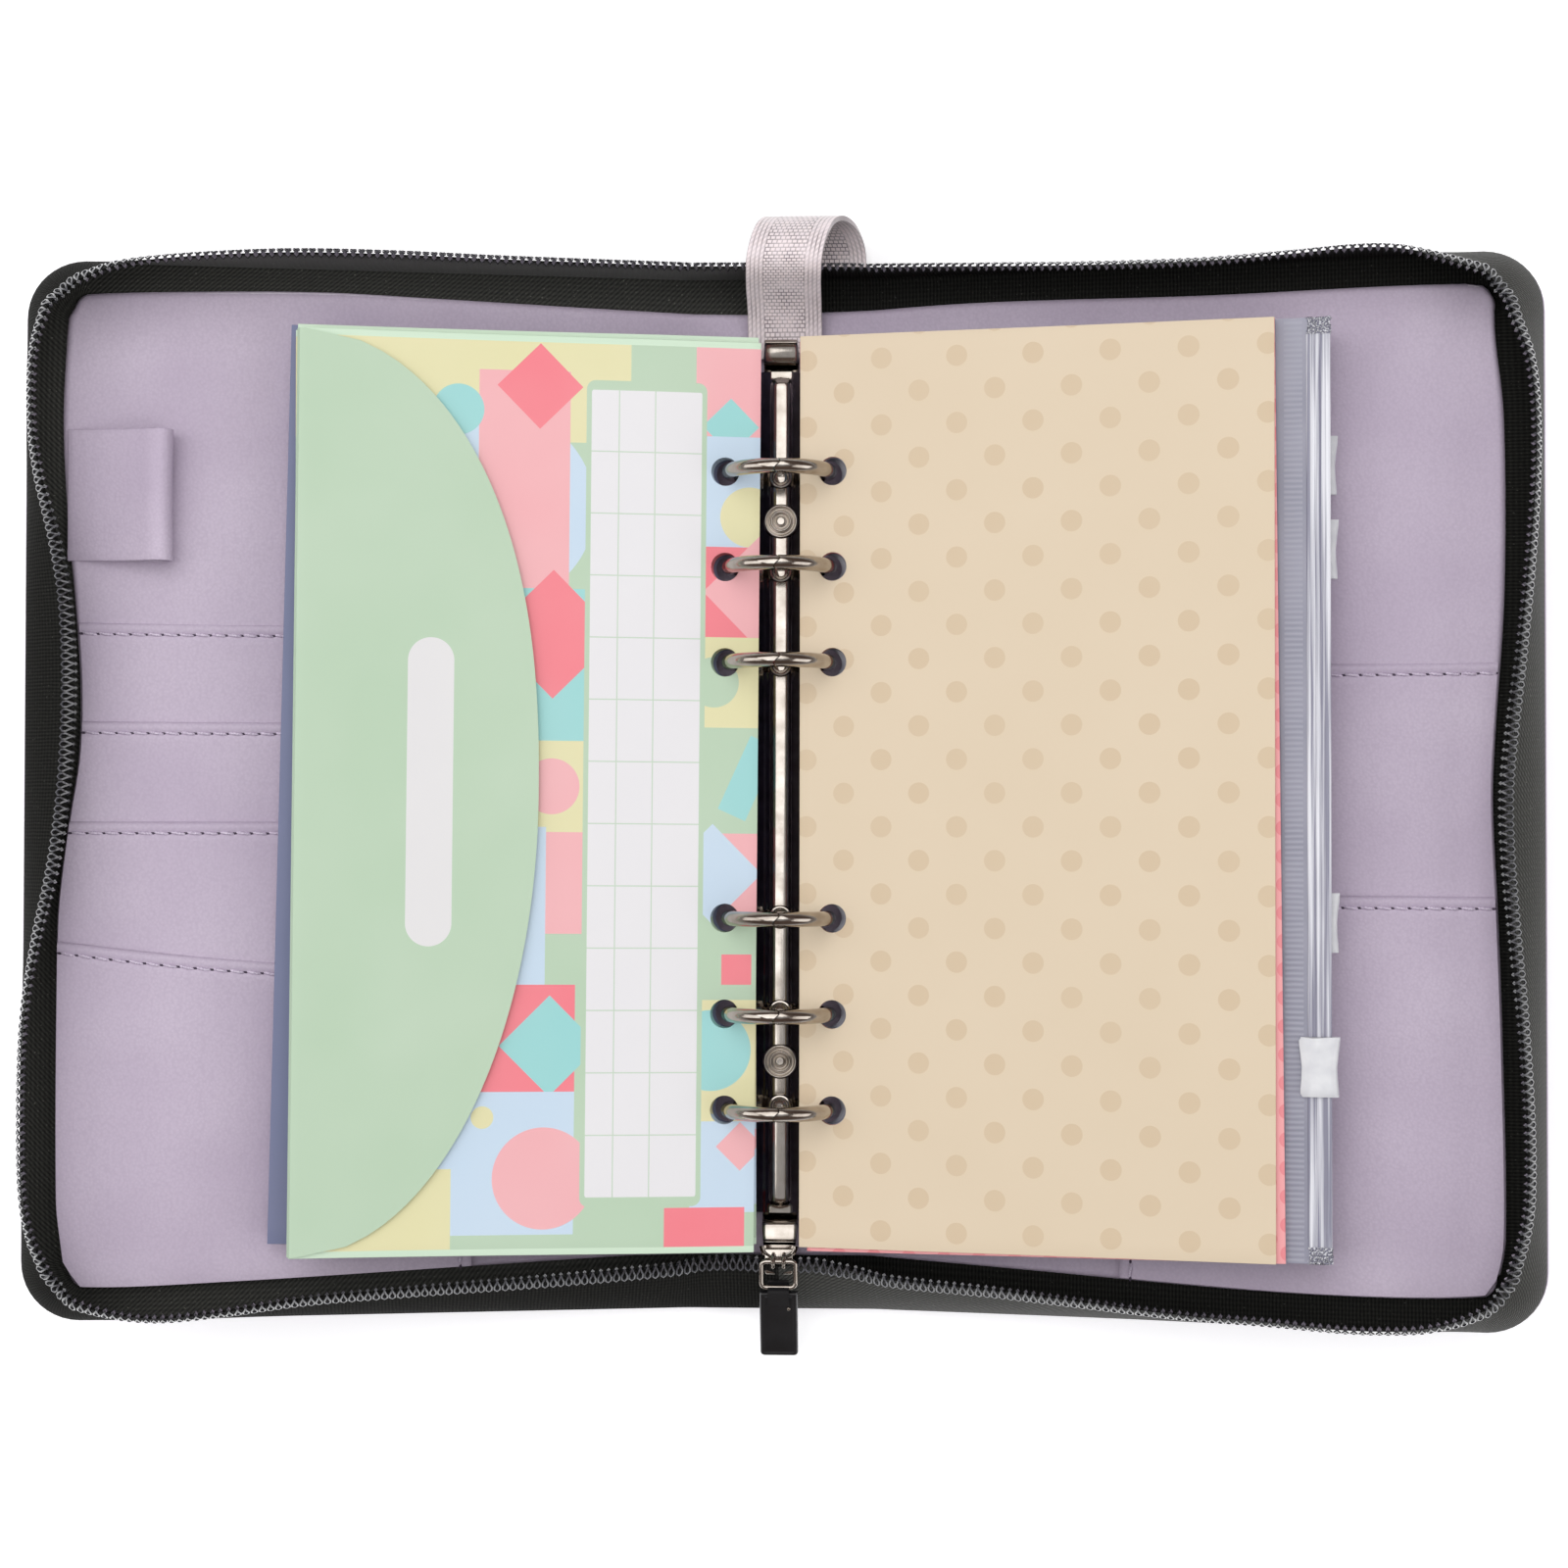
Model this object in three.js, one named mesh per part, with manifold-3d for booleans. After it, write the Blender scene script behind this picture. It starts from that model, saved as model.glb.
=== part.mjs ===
// Cash envelope wallet: a zip-round ring binder with paper envelopes and clear pouches, lying open.
// Millimetres. X runs across the open wallet, Y along its spine towards the strap, Z up.
// The origin is the middle of the spine's underside. The covers are raised at their outer edges.
import * as THREE from 'three';
import { mergeVertices } from 'three/addons/utils/BufferGeometryUtils.js';
import Module from 'manifold-3d';

// Covers and spine
const coverHeight = 210;
const coverWidth = 132;
const coverCorner = 12;
const spineWidth = 38;
const restTilt = 10;
const skinThickness = 0.9;
const boardThickness = 1.3;
const liningThickness = 0.6;
const sheetGap = 0.3;
const hingeClearance = 0.15;
const boardInset = 1.5;

// Zip tape and coil along the edges
const hemWidth = 8;
const tapeThickness = 0.7;
const tapeLip = 0.1;
const tapeHeight = 13.5;
const coilRadius = 1.2;
const mitreStart = 7;
const mitreSlope = 0.85;
const spineTapeHeight = 6.8;
const spineTapeLean = 7.8;

// Ring mechanism
const ringPitch = 19;
const ringCentreGap = 50.8;
const ringRadius = 10;
const wireRadius = 1.5;
const ringCentreHeight = 15.5;
const plateWidth = 14;
const plateInset = 5.5;
const plateHeight = 4;
const plateWall = 0.8;
const plateSideHeight = 1.6;
const hingePlateThickness = 0.6;
const hingePlateInset = 6;
const rivetSpacing = 109;
const rivetHeadRadius = 3.3;
const rivetShankRadius = 1.4;
const leverInside = 5.2;
const leverOutside = 6;
const leverKnee = 1.2;
const leverHalfWidth = 3.6;
const leverThickness = 1;
const leverRise = 4.4;

// Leaves on the rings
const leafEndMargin = 14.5;
const leafInner = 4.1;
const leafSlope = 11;
const holeRadius = 2.9;
const holeShift = 0.5;
const seamWidth = 12;
const envelopeWidth = 91;
const slateWidth = 94.2;
const envelopeThickness = 1;
const paperThickness = 0.35;
const flapReach = 47;
const flapInset = 2.5;
const flapBulge = 12;
const dividerWidth = 93.2;
const dividerThickness = 0.5;
const pinkWidth = 94.6;
const rightEnvelopeThickness = 0.6;
const pouchOverhang = 12.7;
const filmThickness = 0.55;
const filmSlit = 0.2;
const trackWidth = 4.6;
const trackThickness = 1;
const pouchCrimp = 3;
const pouchSliderLength = 11.4;
const pouchSliderWall = 0.35;
const pouchSliderGrip = 5.6;
const pouchSliderPlaces = [-0.586, -0.283, 0.513, 0.696];

// Pockets, pen loop, strap and zip pull
const pocketThickness = 0.35;
const pocketSeam = 44;
const backPocketSeam = 50;
const frontPocketTops = [0.305, 0.124, -0.057];
const backPocketTops = [0.233, -0.2];
const slipPocketTop = -0.276;
const slipPocketDip = 12;
const penLoopWidth = 20;
const penLoopLength = 26;
const penLoopHeight = 6.2;
const penLoopWall = 0.7;
const penLoopInset = 21;
const penLoopAlong = 58;
const strapWidth = 15;
const strapThickness = 1.1;
const strapShift = 9;
const strapReach = 10.3;
const strapRise = 10;
const sliderHalfWidth = 4;
const sliderLength = 6;
const sliderThickness = 2.7;
const bailLength = 5.2;
const bailHalfWidth = 3.9;
const bailWire = 1.1;
const bailDroop = 5;
const tabWidth = 7.6;
const tabLength = 15.2;
const tabThickness = 1.6;
const tabDroop = 20;

// Sizes that follow from the ones above
const pouchWidth = envelopeWidth + pouchOverhang;
const stackHeight = skinThickness + boardThickness + liningThickness + 2 * sheetGap;
const hingeX = spineWidth / 2;
const hingeZ = stackHeight / 2;
const halfHeight = coverHeight / 2;
const leafLength = coverHeight - 2 * leafEndMargin;
const flapHalf = leafLength / 2 - flapInset;
const plateLength = leafLength - 2 * plateInset;
const boardLow = skinThickness + sheetGap;
const liningLow = boardLow + boardThickness + sheetGap;
const liningStart = hingeZ + sheetGap;
const plateTop = stackHeight + plateHeight;
const ringPlaces = [-1, 1].flatMap((side) => [0, 1, 2].map((i) => side * (ringCentreGap / 2 + i * ringPitch)));
const full = Math.PI * 2;
const radians = THREE.MathUtils.degToRad;

const wasm = await Module();
wasm.setup();

// Solids and booleans
function solidOf(geometry) {
  const bare = geometry.clone();
  bare.deleteAttribute('normal');
  bare.deleteAttribute('uv');
  const merged = mergeVertices(bare, 1e-4);
  return new wasm.Manifold(new wasm.Mesh({
    numProp: 3,
    vertProperties: new Float32Array(merged.attributes.position.array),
    triVerts: new Uint32Array(merged.index.array),
  }));
}

function geometryOf(solid) {
  const mesh = solid.getMesh();
  const geometry = new THREE.BufferGeometry();
  geometry.setAttribute('position', new THREE.BufferAttribute(new Float32Array(mesh.vertProperties), 3));
  geometry.setIndex(new THREE.BufferAttribute(new Uint32Array(mesh.triVerts), 1));
  return geometry;
}

function cut(geometry, tools) {
  return geometryOf(tools.reduce((left, tool) => left.subtract(solidOf(tool)), solidOf(geometry)));
}

function join(geometries) {
  return geometryOf(geometries.slice(1).reduce((all, next) => all.add(solidOf(next)), solidOf(geometries[0])));
}

function box(xLow, xHigh, yLow, yHigh, zLow, zHigh) {
  const geometry = new THREE.BoxGeometry(Math.abs(xHigh - xLow), yHigh - yLow, zHigh - zLow);
  return geometry.translate((xLow + xHigh) / 2, (yLow + yHigh) / 2, (zLow + zHigh) / 2);
}

function upright(radius, x, y, zLow, zHigh, sides = 12) {
  const geometry = new THREE.CylinderGeometry(radius, radius, zHigh - zLow, sides);
  return geometry.rotateX(Math.PI / 2).translate(x, y, (zLow + zHigh) / 2);
}

function sheet(shape, zLow, thickness, curveSegments = 6) {
  const geometry = new THREE.ExtrudeGeometry(shape, { depth: thickness, bevelEnabled: false, curveSegments });
  return geometry.translate(0, 0, zLow);
}

function shapeOf(points) {
  return new THREE.Shape(points.map(([a, b]) => new THREE.Vector2(a, b)));
}

// A profile drawn in X and Z, run along Y
function alongY(points, yLow, yHigh) {
  const geometry = new THREE.ExtrudeGeometry(shapeOf(points), { depth: yHigh - yLow, bevelEnabled: false });
  return geometry.rotateX(Math.PI / 2).translate(0, yHigh, 0);
}

// A profile drawn in Y and Z, run along X
function alongX(shape, xLow, xHigh) {
  const geometry = new THREE.ExtrudeGeometry(shape, { depth: xHigh - xLow, bevelEnabled: false, curveSegments: 6 });
  const turned = new THREE.Matrix4().makeBasis(
    new THREE.Vector3(0, 1, 0),
    new THREE.Vector3(0, 0, 1),
    new THREE.Vector3(1, 0, 0),
  );
  return geometry.applyMatrix4(turned).translate(xLow, 0, 0);
}

// A closed skin through a row of like outlines. The faces that close its ends are a fan, or are given.
function fanFaces(count) {
  const faces = [];
  for (let i = 1; i < count - 1; i += 1) {
    faces.push([0, i, i + 1]);
  }
  return faces;
}

function loft(sections, endFaces = fanFaces(sections[0].length)) {
  const count = sections[0].length;
  const positions = sections.flatMap((section) => section.flatMap((place) => place.toArray()));
  const index = [];
  for (let row = 0; row < sections.length - 1; row += 1) {
    for (let i = 0; i < count; i += 1) {
      const a = row * count + i;
      const b = row * count + ((i + 1) % count);
      index.push(a, b, b + count, a, b + count, a + count);
    }
  }
  const last = (sections.length - 1) * count;
  for (const [a, b, c] of endFaces) {
    index.push(c, b, a, last + a, last + b, last + c);
  }
  const geometry = new THREE.BufferGeometry();
  geometry.setAttribute('position', new THREE.Float32BufferAttribute(positions, 3));
  geometry.setIndex(volumeOf(positions, index) < 0 ? index.reverse() : index);
  return geometry;
}

function volumeOf(positions, index) {
  const corner = (i) => new THREE.Vector3().fromArray(positions, index[i] * 3);
  let sum = 0;
  for (let i = 0; i < index.length; i += 3) {
    sum += corner(i).dot(corner(i + 1).cross(corner(i + 2)));
  }
  return sum / 6;
}

// Smooth value between named marks, each a share of the way and a value
function along(marks, share) {
  const next = Math.max(1, marks.findIndex((mark) => mark[0] >= share));
  const [from, low] = marks[next - 1];
  const [to, high] = marks[next];
  const t = THREE.MathUtils.smoothstep(share, from, to);
  return THREE.MathUtils.lerp(low, high, t);
}

// Materials
function material(colour, roughness, metalness = 0) {
  return new THREE.MeshStandardMaterial({ color: colour, roughness, metalness });
}

const lilacLeather = material('#b9aabf', 0.55);
const greyBoard = material('#a89f92', 0.9);
const blackTape = material('#2a2a27', 0.85);
const blackCoil = material('#1f1f1e', 0.45);
const polishedSteel = material('#c9cacc', 0.15, 1);
const wovenRibbon = material('#b9adb0', 0.5);
const printedPaper = material('#e3dfe2', 0.7);
const slatePaper = material('#6f7ba0', 0.7);
const creamCard = material('#ead9c0', 0.75);
const pinkPaper = material('#e58f98', 0.7);
const clearFilm = material('#a9aec3', 0.2);
const milkyPlastic = material('#d5d5d8', 0.35);
const blackLeather = material('#26262a', 0.5);

const wallet = new THREE.Group();

function addPiece(parent, name, geometry, look) {
  const mesh = new THREE.Mesh(geometry, look);
  mesh.name = name;
  parent.add(mesh);
  return mesh;
}

// Spine: three layers, with holes for the two rivets
function buildSpine() {
  const skinHalf = hingeX - hingeClearance;
  const innerHalf = hingeX - boardInset;
  const rivetHoles = [-1, 1].map((side) => upright(
    rivetShankRadius + sheetGap,
    0,
    side * rivetSpacing / 2,
    skinThickness,
    stackHeight + 1,
  ));
  addPiece(
    wallet,
    'spine_skin',
    box(-skinHalf, skinHalf, -halfHeight, halfHeight, 0, skinThickness),
    lilacLeather,
  );
  const board = box(-innerHalf, innerHalf, -halfHeight + 1, halfHeight - 1, boardLow, boardLow + boardThickness);
  addPiece(wallet, 'spine_board', cut(board, rivetHoles), greyBoard);
  const lining = box(-innerHalf, innerHalf, -halfHeight, halfHeight, liningLow, stackHeight);
  addPiece(wallet, 'spine_lining', cut(lining, rivetHoles), lilacLeather);
}

// Cover sheets: straight at the hinge, round at the two outer corners
function coverShape(side, start, inset) {
  const end = coverWidth - inset;
  const top = halfHeight - inset;
  const corner = coverCorner - inset;
  const shape = new THREE.Shape();
  shape.moveTo(side * start, -top);
  shape.lineTo(side * (end - corner), -top);
  shape.absarc(side * (end - corner), -top + corner, corner, -Math.PI / 2, side > 0 ? 0 : -Math.PI, side < 0);
  shape.lineTo(side * end, top - corner);
  shape.absarc(side * (end - corner), top - corner, corner, side > 0 ? 0 : Math.PI, Math.PI / 2, side < 0);
  shape.lineTo(side * start, top);
  shape.closePath();
  return shape;
}

// A cover's own frame: its origin is on the hinge line, and Z is measured from the middle of its layers
function coverGroup(side) {
  const group = new THREE.Group();
  group.position.set(side * hingeX, 0, hingeZ);
  group.rotation.y = -side * radians(restTilt);
  wallet.add(group);
  return group;
}

function buildCover(group, side, prefix) {
  const outer = coverShape(side, hingeClearance, 0);
  addPiece(group, `${prefix}_skin`, sheet(outer, -hingeZ, skinThickness), lilacLeather);
  const middle = coverShape(side, boardInset, 1);
  addPiece(group, `${prefix}_board`, sheet(middle, boardLow - hingeZ, boardThickness), greyBoard);
  const inner = coverShape(side, liningStart, 0);
  addPiece(group, `${prefix}_lining`, sheet(inner, liningLow - hingeZ, liningThickness), lilacLeather);
}

// Places along a cover's edge, from the hinge at the bottom end round to the hinge at the top end
function edgePlaces(side) {
  const straight = coverWidth - coverCorner;
  const arc = coverCorner * Math.PI / 2;
  const tall = coverHeight - 2 * coverCorner;
  const total = 2 * (straight - liningStart) + 2 * arc + tall;
  const places = [];
  const put = (across, y, inX, inY, distance) => places.push({
    across,
    point: new THREE.Vector2(side * across, y),
    inward: new THREE.Vector2(side * inX, inY),
    share: distance / total,
  });
  const mitreEnd = mitreStart + (tapeHeight - lowestTape) / mitreSlope;
  const endMarks = [liningStart + sheetGap, mitreStart];
  [1 / 3, 2 / 3, 1].forEach((share) => endMarks.push(THREE.MathUtils.lerp(mitreStart, mitreEnd, share)));
  const openSteps = 7;
  for (let i = 1; i <= openSteps; i += 1) {
    endMarks.push(THREE.MathUtils.lerp(mitreEnd, straight, i / openSteps));
  }
  endMarks.forEach((across) => put(across, -halfHeight, 0, 1, across - liningStart));
  const cornerSteps = 5;
  for (let i = 1; i <= cornerSteps; i += 1) {
    const angle = -Math.PI / 2 + (i / cornerSteps) * Math.PI / 2;
    const x = straight + coverCorner * Math.cos(angle);
    const y = -halfHeight + coverCorner + coverCorner * Math.sin(angle);
    put(x, y, -Math.cos(angle), -Math.sin(angle), straight - liningStart + (i / cornerSteps) * arc);
  }
  const sideSteps = 14;
  for (let i = 1; i < sideSteps; i += 1) {
    const y = -halfHeight + coverCorner + (i / sideSteps) * tall;
    put(coverWidth, y, -1, 0, straight - liningStart + arc + (i / sideSteps) * tall);
  }
  for (let i = 0; i <= cornerSteps; i += 1) {
    const angle = (i / cornerSteps) * Math.PI / 2;
    const x = straight + coverCorner * Math.cos(angle);
    const y = halfHeight - coverCorner + coverCorner * Math.sin(angle);
    const distance = straight - liningStart + arc + tall + (i / cornerSteps) * arc;
    put(x, y, -Math.cos(angle), -Math.sin(angle), distance);
  }
  endMarks.slice(0, -1).reverse().forEach((across) => {
    put(across, halfHeight, 0, -1, total - across + liningStart);
  });
  return places;
}

// The tape stands up from a hem on the lining and leans, and is mitred down to nothing at the hinge
const hemTop = tapeThickness;
const lowestTape = hemTop + tapeLip;

function tapeSizes(place, leans) {
  const height = THREE.MathUtils.clamp(lowestTape + mitreSlope * (place.across - mitreStart), lowestTape, tapeHeight);
  return { height, lean: along(leans, place.share) * height };
}

function tapeSection(height, lean) {
  const middle = hemTop + (height - hemTop) / 2;
  return [
    [0, 0],
    [lean * 0.4, middle],
    [lean, height],
    [lean + tapeThickness, height],
    [lean * 0.4 + tapeThickness, middle],
    [tapeThickness, hemTop],
    [hemWidth, hemTop],
    [hemWidth, 0],
  ];
}

const tapeEnds = [[0, 1, 4], [0, 4, 5], [1, 2, 3], [1, 3, 4], [0, 5, 6], [0, 6, 7]];

function coilSection(height, lean) {
  const sides = 6;
  const points = [];
  for (let i = 0; i < sides; i += 1) {
    const angle = Math.PI / 6 + (i / sides) * full;
    points.push([
      lean + tapeThickness / 2 + coilRadius * Math.cos(angle),
      height + sheetGap + coilRadius + coilRadius * Math.sin(angle),
    ]);
  }
  return points;
}

function placeSection(flat, place, zLow) {
  return flat.map(([inwards, up]) => new THREE.Vector3(
    place.point.x + place.inward.x * inwards,
    place.point.y + place.inward.y * inwards,
    zLow + up,
  ));
}

function buildTape(group, side, prefix, leans) {
  const places = edgePlaces(side);
  const zLow = stackHeight - hingeZ + sheetGap;
  const tape = places.map((place) => {
    const { height, lean } = tapeSizes(place, leans);
    return placeSection(tapeSection(height, lean), place, zLow);
  });
  addPiece(group, `${prefix}_zip_tape`, loft(tape, tapeEnds), blackTape);
  const coil = places.filter((place) => place.across >= mitreStart).map((place) => {
    const { height, lean } = tapeSizes(place, leans);
    return placeSection(coilSection(height, lean), place, zLow);
  });
  addPiece(group, `${prefix}_zip_coil`, loft(coil), blackCoil);
}

// The zip's joined end across each end of the spine
function buildSpineTape(end, name, height, lean) {
  const half = hingeX - hingeZ - lowestTape - 2 * sheetGap;
  const shares =[-1, -0.75, -0.5, -0.3, 0.3, 0.5, 0.75, 1];
  const sections = shares.map((share) => {
    const x = share * half;
    const rise = Math.min(height, lowestTape + (half - Math.abs(x)));
    const place = { point: new THREE.Vector2(x, end * halfHeight), inward: new THREE.Vector2(0, -end) };
    return placeSection(tapeSection(rise, lean * rise / height), place, stackHeight);
  });
  addPiece(wallet, name, loft(sections, tapeEnds), blackTape);
}

// Ring mechanism
function domeProfile(halfWidth, sideHeight, rise, zLow) {
  const radius = (halfWidth ** 2 + rise ** 2) / (2 * rise);
  const spread = Math.asin(halfWidth / radius);
  const points = [[-halfWidth, zLow]];
  const steps = 8;
  for (let i = 0; i <= steps; i += 1) {
    const angle = -spread + (i / steps) * 2 * spread;
    points.push([radius * Math.sin(angle), zLow + sideHeight + rise - radius + radius * Math.cos(angle)]);
  }
  points.push([halfWidth, zLow]);
  return points;
}

function buildCoverPlate() {
  const half = plateLength / 2;
  const rise = plateHeight - plateSideHeight;
  const outer = alongY(domeProfile(plateWidth / 2, plateSideHeight, rise, stackHeight), -half, half);
  const hollow = alongY(
    domeProfile(plateWidth / 2 - plateWall, plateSideHeight, rise - plateWall, stackHeight - 0.01),
    -half - 1,
    half + 1,
  );
  const slotHalf = wireRadius + 0.5;
  const slots = ringPlaces.flatMap((y) => [-1, 1].map((side) => box(
    side * 2.9,
    side * (plateWidth / 2 + 1),
    y - slotHalf,
    y + slotHalf,
    stackHeight + 1.2,
    plateTop + 1,
  )));
  const rivetHoles = [-1, 1].map((side) => upright(
    rivetShankRadius + sheetGap,
    0,
    side * rivetSpacing / 2,
    stackHeight,
    plateTop + 1,
  ));
  addPiece(wallet, 'ring_cover_plate', cut(outer, [hollow, ...slots, ...rivetHoles]), polishedSteel);
}

function buildRivet(y, name) {
  const headHeight = 1.1;
  const points = [
    new THREE.Vector2(0, boardLow),
    new THREE.Vector2(rivetShankRadius, boardLow),
    new THREE.Vector2(rivetShankRadius, plateTop),
    new THREE.Vector2(rivetHeadRadius, plateTop),
    new THREE.Vector2(rivetHeadRadius * 0.85, plateTop + headHeight * 0.7),
    new THREE.Vector2(rivetHeadRadius * 0.45, plateTop + headHeight),
    new THREE.Vector2(0, plateTop + headHeight),
  ];
  const geometry = new THREE.LatheGeometry(points, 16).rotateX(Math.PI / 2).translate(0, y, 0);
  addPiece(wallet, name, geometry, polishedSteel);
}

// The sprung plates turn about their outer edges and carry the half rings
const hingePlateOuter = plateWidth / 2 - plateWall - sheetGap;
const hingePlateLow = stackHeight + sheetGap / 2;

function buildHingePlate(side, name) {
  const inner = sheetGap;
  const half = plateLength / 2 - hingePlateInset;
  const plate = box(
    side * inner,
    side * hingePlateOuter,
    -half,
    half,
    hingePlateLow,
    hingePlateLow + hingePlateThickness,
  );
  const holes = [-1, 1].map((end) => upright(
    rivetShankRadius + 2 * sheetGap,
    0,
    end * rivetSpacing / 2,
    hingePlateLow - 1,
    hingePlateLow + 2,
  ));
  addPiece(wallet, name, cut(plate, holes), polishedSteel);
}

// A half ring's centre line: a round arc past the top, then a straight foot into the cover plate
class HalfRing extends THREE.Curve {
  constructor(side, footLength, tip) {
    super();
    this.side = side;
    this.start = Math.asin(tip / ringRadius);
    this.turn = this.start + radians(135);
    this.arcLength = ringRadius * this.turn;
    this.footLength = footLength;
  }

  getPoint(t, target = new THREE.Vector3()) {
    const distance = t * (this.arcLength + this.footLength);
    const angle = Math.min(distance, this.arcLength) / ringRadius - this.start;
    const foot = Math.max(0, distance - this.arcLength);
    const x = ringRadius * Math.sin(angle) - foot * Math.cos(Math.PI - angle);
    const z = ringRadius * Math.cos(angle) - foot * Math.sin(Math.PI - angle);
    return target.set(this.side * x, 0, z);
  }
}

function halfRingGeometry(side) {
  const tip = 0.9;
  const curve = new HalfRing(side, 4, tip);
  const section = new THREE.Shape();
  section.absarc(0, 0, wireRadius, 0, full);
  const wire = new THREE.ExtrudeGeometry(section, { steps: 18, curveSegments: 4, extrudePath: curve });
  const reach = tip + sheetGap;
  const near = ringRadius - 2 * wireRadius;
  const far = ringRadius + 2 * wireRadius;
  const notch = side < 0
    ? box(-reach, reach + 1, -sheetGap / 2, 2 * wireRadius, near, far)
    : box(-reach - 1, reach, -2 * wireRadius, sheetGap / 2, near, far);
  return cut(wire, [notch]).translate(0, 0, ringCentreHeight);
}

function buildRings(side, name) {
  const geometry = halfRingGeometry(side);
  ringPlaces.forEach((y, i) => {
    const ring = addPiece(wallet, `ring_${name}_${i + 1}`, geometry, polishedSteel);
    ring.position.y = y;
  });
}

function buildLever(end, name) {
  const half = leverThickness / 2;
  const inner = plateLength / 2 - leverInside;
  const knee = plateLength / 2 + leverKnee;
  const tip = plateLength / 2 + leverOutside;
  const low = stackHeight + 0.4;
  const profile = shapeOf([
    [end * inner, low],
    [end * knee, low],
    [end * tip, low + leverRise],
    [end * (tip - half), low + leverRise + leverThickness],
    [end * (knee - half), low + leverThickness],
    [end * inner, low + leverThickness],
  ]);
  addPiece(wallet, name, alongX(profile, -leverHalfWidth, leverHalfWidth), polishedSteel);
}

// Leaves turn about the rings' centre line, so each leaf's frame has its origin there
function leafGroup(side, slope) {
  const group = new THREE.Group();
  group.position.z = ringCentreHeight;
  group.rotation.y = -side * radians(slope);
  wallet.add(group);
  return group;
}

function leafHoles(side, depth) {
  const x = side * (Math.sqrt(ringRadius ** 2 - depth ** 2) + holeShift);
  return ringPlaces.map((y) => upright(holeRadius, x, y, -depth - 2, -depth + 2));
}

// A plain envelope: two panels joined at the ring side and at both ends, open at its outer edge
function envelope(side, width, thickness, depth) {
  const half = leafLength / 2;
  const outer = leafInner + width;
  const low = -depth - thickness / 2;
  const body = box(side * leafInner, side * outer, -half, half, low, low + thickness);
  const panel = thickness / 3;
  const pocket = box(
    side * (leafInner + seamWidth),
    side * (outer + 1),
    -half + 2,
    half - 2,
    low + panel,
    low + thickness - panel,
  );
  return cut(body, [pocket, ...leafHoles(side, depth)]);
}

// The top envelope has a flap folded over from its outer edge, with a curved free edge
function flapShape(side, outer) {
  const root = outer - 1;
  const reach = root - flapReach;
  const shoulder = root - flapReach * 0.36;
  const shape = new THREE.Shape();
  shape.moveTo(side * outer, -flapHalf);
  shape.lineTo(side * shoulder, -flapHalf + 2);
  shape.bezierCurveTo(
    side * (shoulder - flapBulge),
    -flapHalf * 0.7,
    side * reach,
    -flapHalf * 0.45,
    side * reach,
    0,
  );
  shape.bezierCurveTo(
    side * reach,
    flapHalf * 0.45,
    side * (shoulder - flapBulge),
    flapHalf * 0.7,
    side * shoulder,
    flapHalf - 2,
  );
  shape.lineTo(side * outer, flapHalf);
  shape.closePath();
  return shape;
}

function flapEnvelope(side, depth) {
  const half = leafLength / 2;
  const outer = leafInner + envelopeWidth;
  const paper = paperThickness;
  const low = -depth;
  const front = low + paper + sheetGap;
  const flap = front + paper + sheetGap;
  const frontEdge = outer - paper - sheetGap;
  const pieces = [
    box(side * leafInner, side * outer, -half, half, low, low + paper),
    box(side * leafInner, side * frontEdge, -half, half, front, front + paper),
    box(side * leafInner, side * (leafInner + seamWidth), -half, half, low, front + paper),
    box(side * leafInner, side * frontEdge, -half, -half + 2, low, front + paper),
    box(side * leafInner, side * frontEdge, half - 2, half, low, front + paper),
    box(side * (outer - paper), side * outer, -flapHalf, flapHalf, low, flap + paper),
    sheet(flapShape(side, outer), flap, paper, 8),
  ];
  return cut(join(pieces), leafHoles(side, depth - paper));
}

// A clear pouch: a punched band, two films joined at both ends, and a thicker zip track along the outer edge
function pouch(side, depth) {
  const half = leafLength / 2;
  const outer = leafInner + pouchWidth;
  const trackStart = outer - trackWidth;
  const film = filmThickness / 2;
  const track = trackThickness / 2;
  const body = alongY([
    [side * leafInner, -depth - film],
    [side * trackStart, -depth - film],
    [side * trackStart, -depth - track],
    [side * outer, -depth - track],
    [side * outer, -depth + track],
    [side * trackStart, -depth + track],
    [side * trackStart, -depth + film],
    [side * leafInner, -depth + film],
  ], -half, half);
  const inside = box(
    side * (leafInner + seamWidth),
    side * (outer + 1),
    -half + pouchCrimp,
    half - pouchCrimp,
    -depth - filmSlit / 2,
    -depth + filmSlit / 2,
  );
  return cut(body, [inside, ...leafHoles(side, depth)]);
}

// The slider straddles the track from outside
function pouchSlider(side, depth, y) {
  const slot = trackThickness / 2 + sheetGap;
  const half = slot + pouchSliderWall;
  const outer = leafInner + pouchWidth + sheetGap + 0.8;
  const slotEnd = outer - 0.8;
  const inner = outer - pouchSliderGrip;
  return alongY([
    [side * inner, -depth - half],
    [side * outer, -depth - half],
    [side * outer, -depth + half],
    [side * inner, -depth + half],
    [side * inner, -depth + slot],
    [side * slotEnd, -depth + slot],
    [side * slotEnd, -depth - slot],
    [side * inner, -depth - slot],
  ], y - pouchSliderLength / 2, y + pouchSliderLength / 2);
}

function buildLeftLeaves() {
  const topDepth = 3 * paperThickness + 3 * sheetGap;
  addPiece(leafGroup(-1, leafSlope), 'envelope_1', flapEnvelope(-1, topDepth), printedPaper);
  const fan = 0.7;
  const looks = [printedPaper, printedPaper, slatePaper];
  looks.forEach((look, i) => {
    const depth = topDepth + (i + 0.5) * envelopeThickness + (i + 1) * sheetGap;
    const width = look === slatePaper ? slateWidth : envelopeWidth;
    const group = leafGroup(-1, leafSlope - (i + 1) * fan);
    addPiece(group, `envelope_${i + 2}`, envelope(-1, width, envelopeThickness, depth), look);
  });
}

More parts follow.
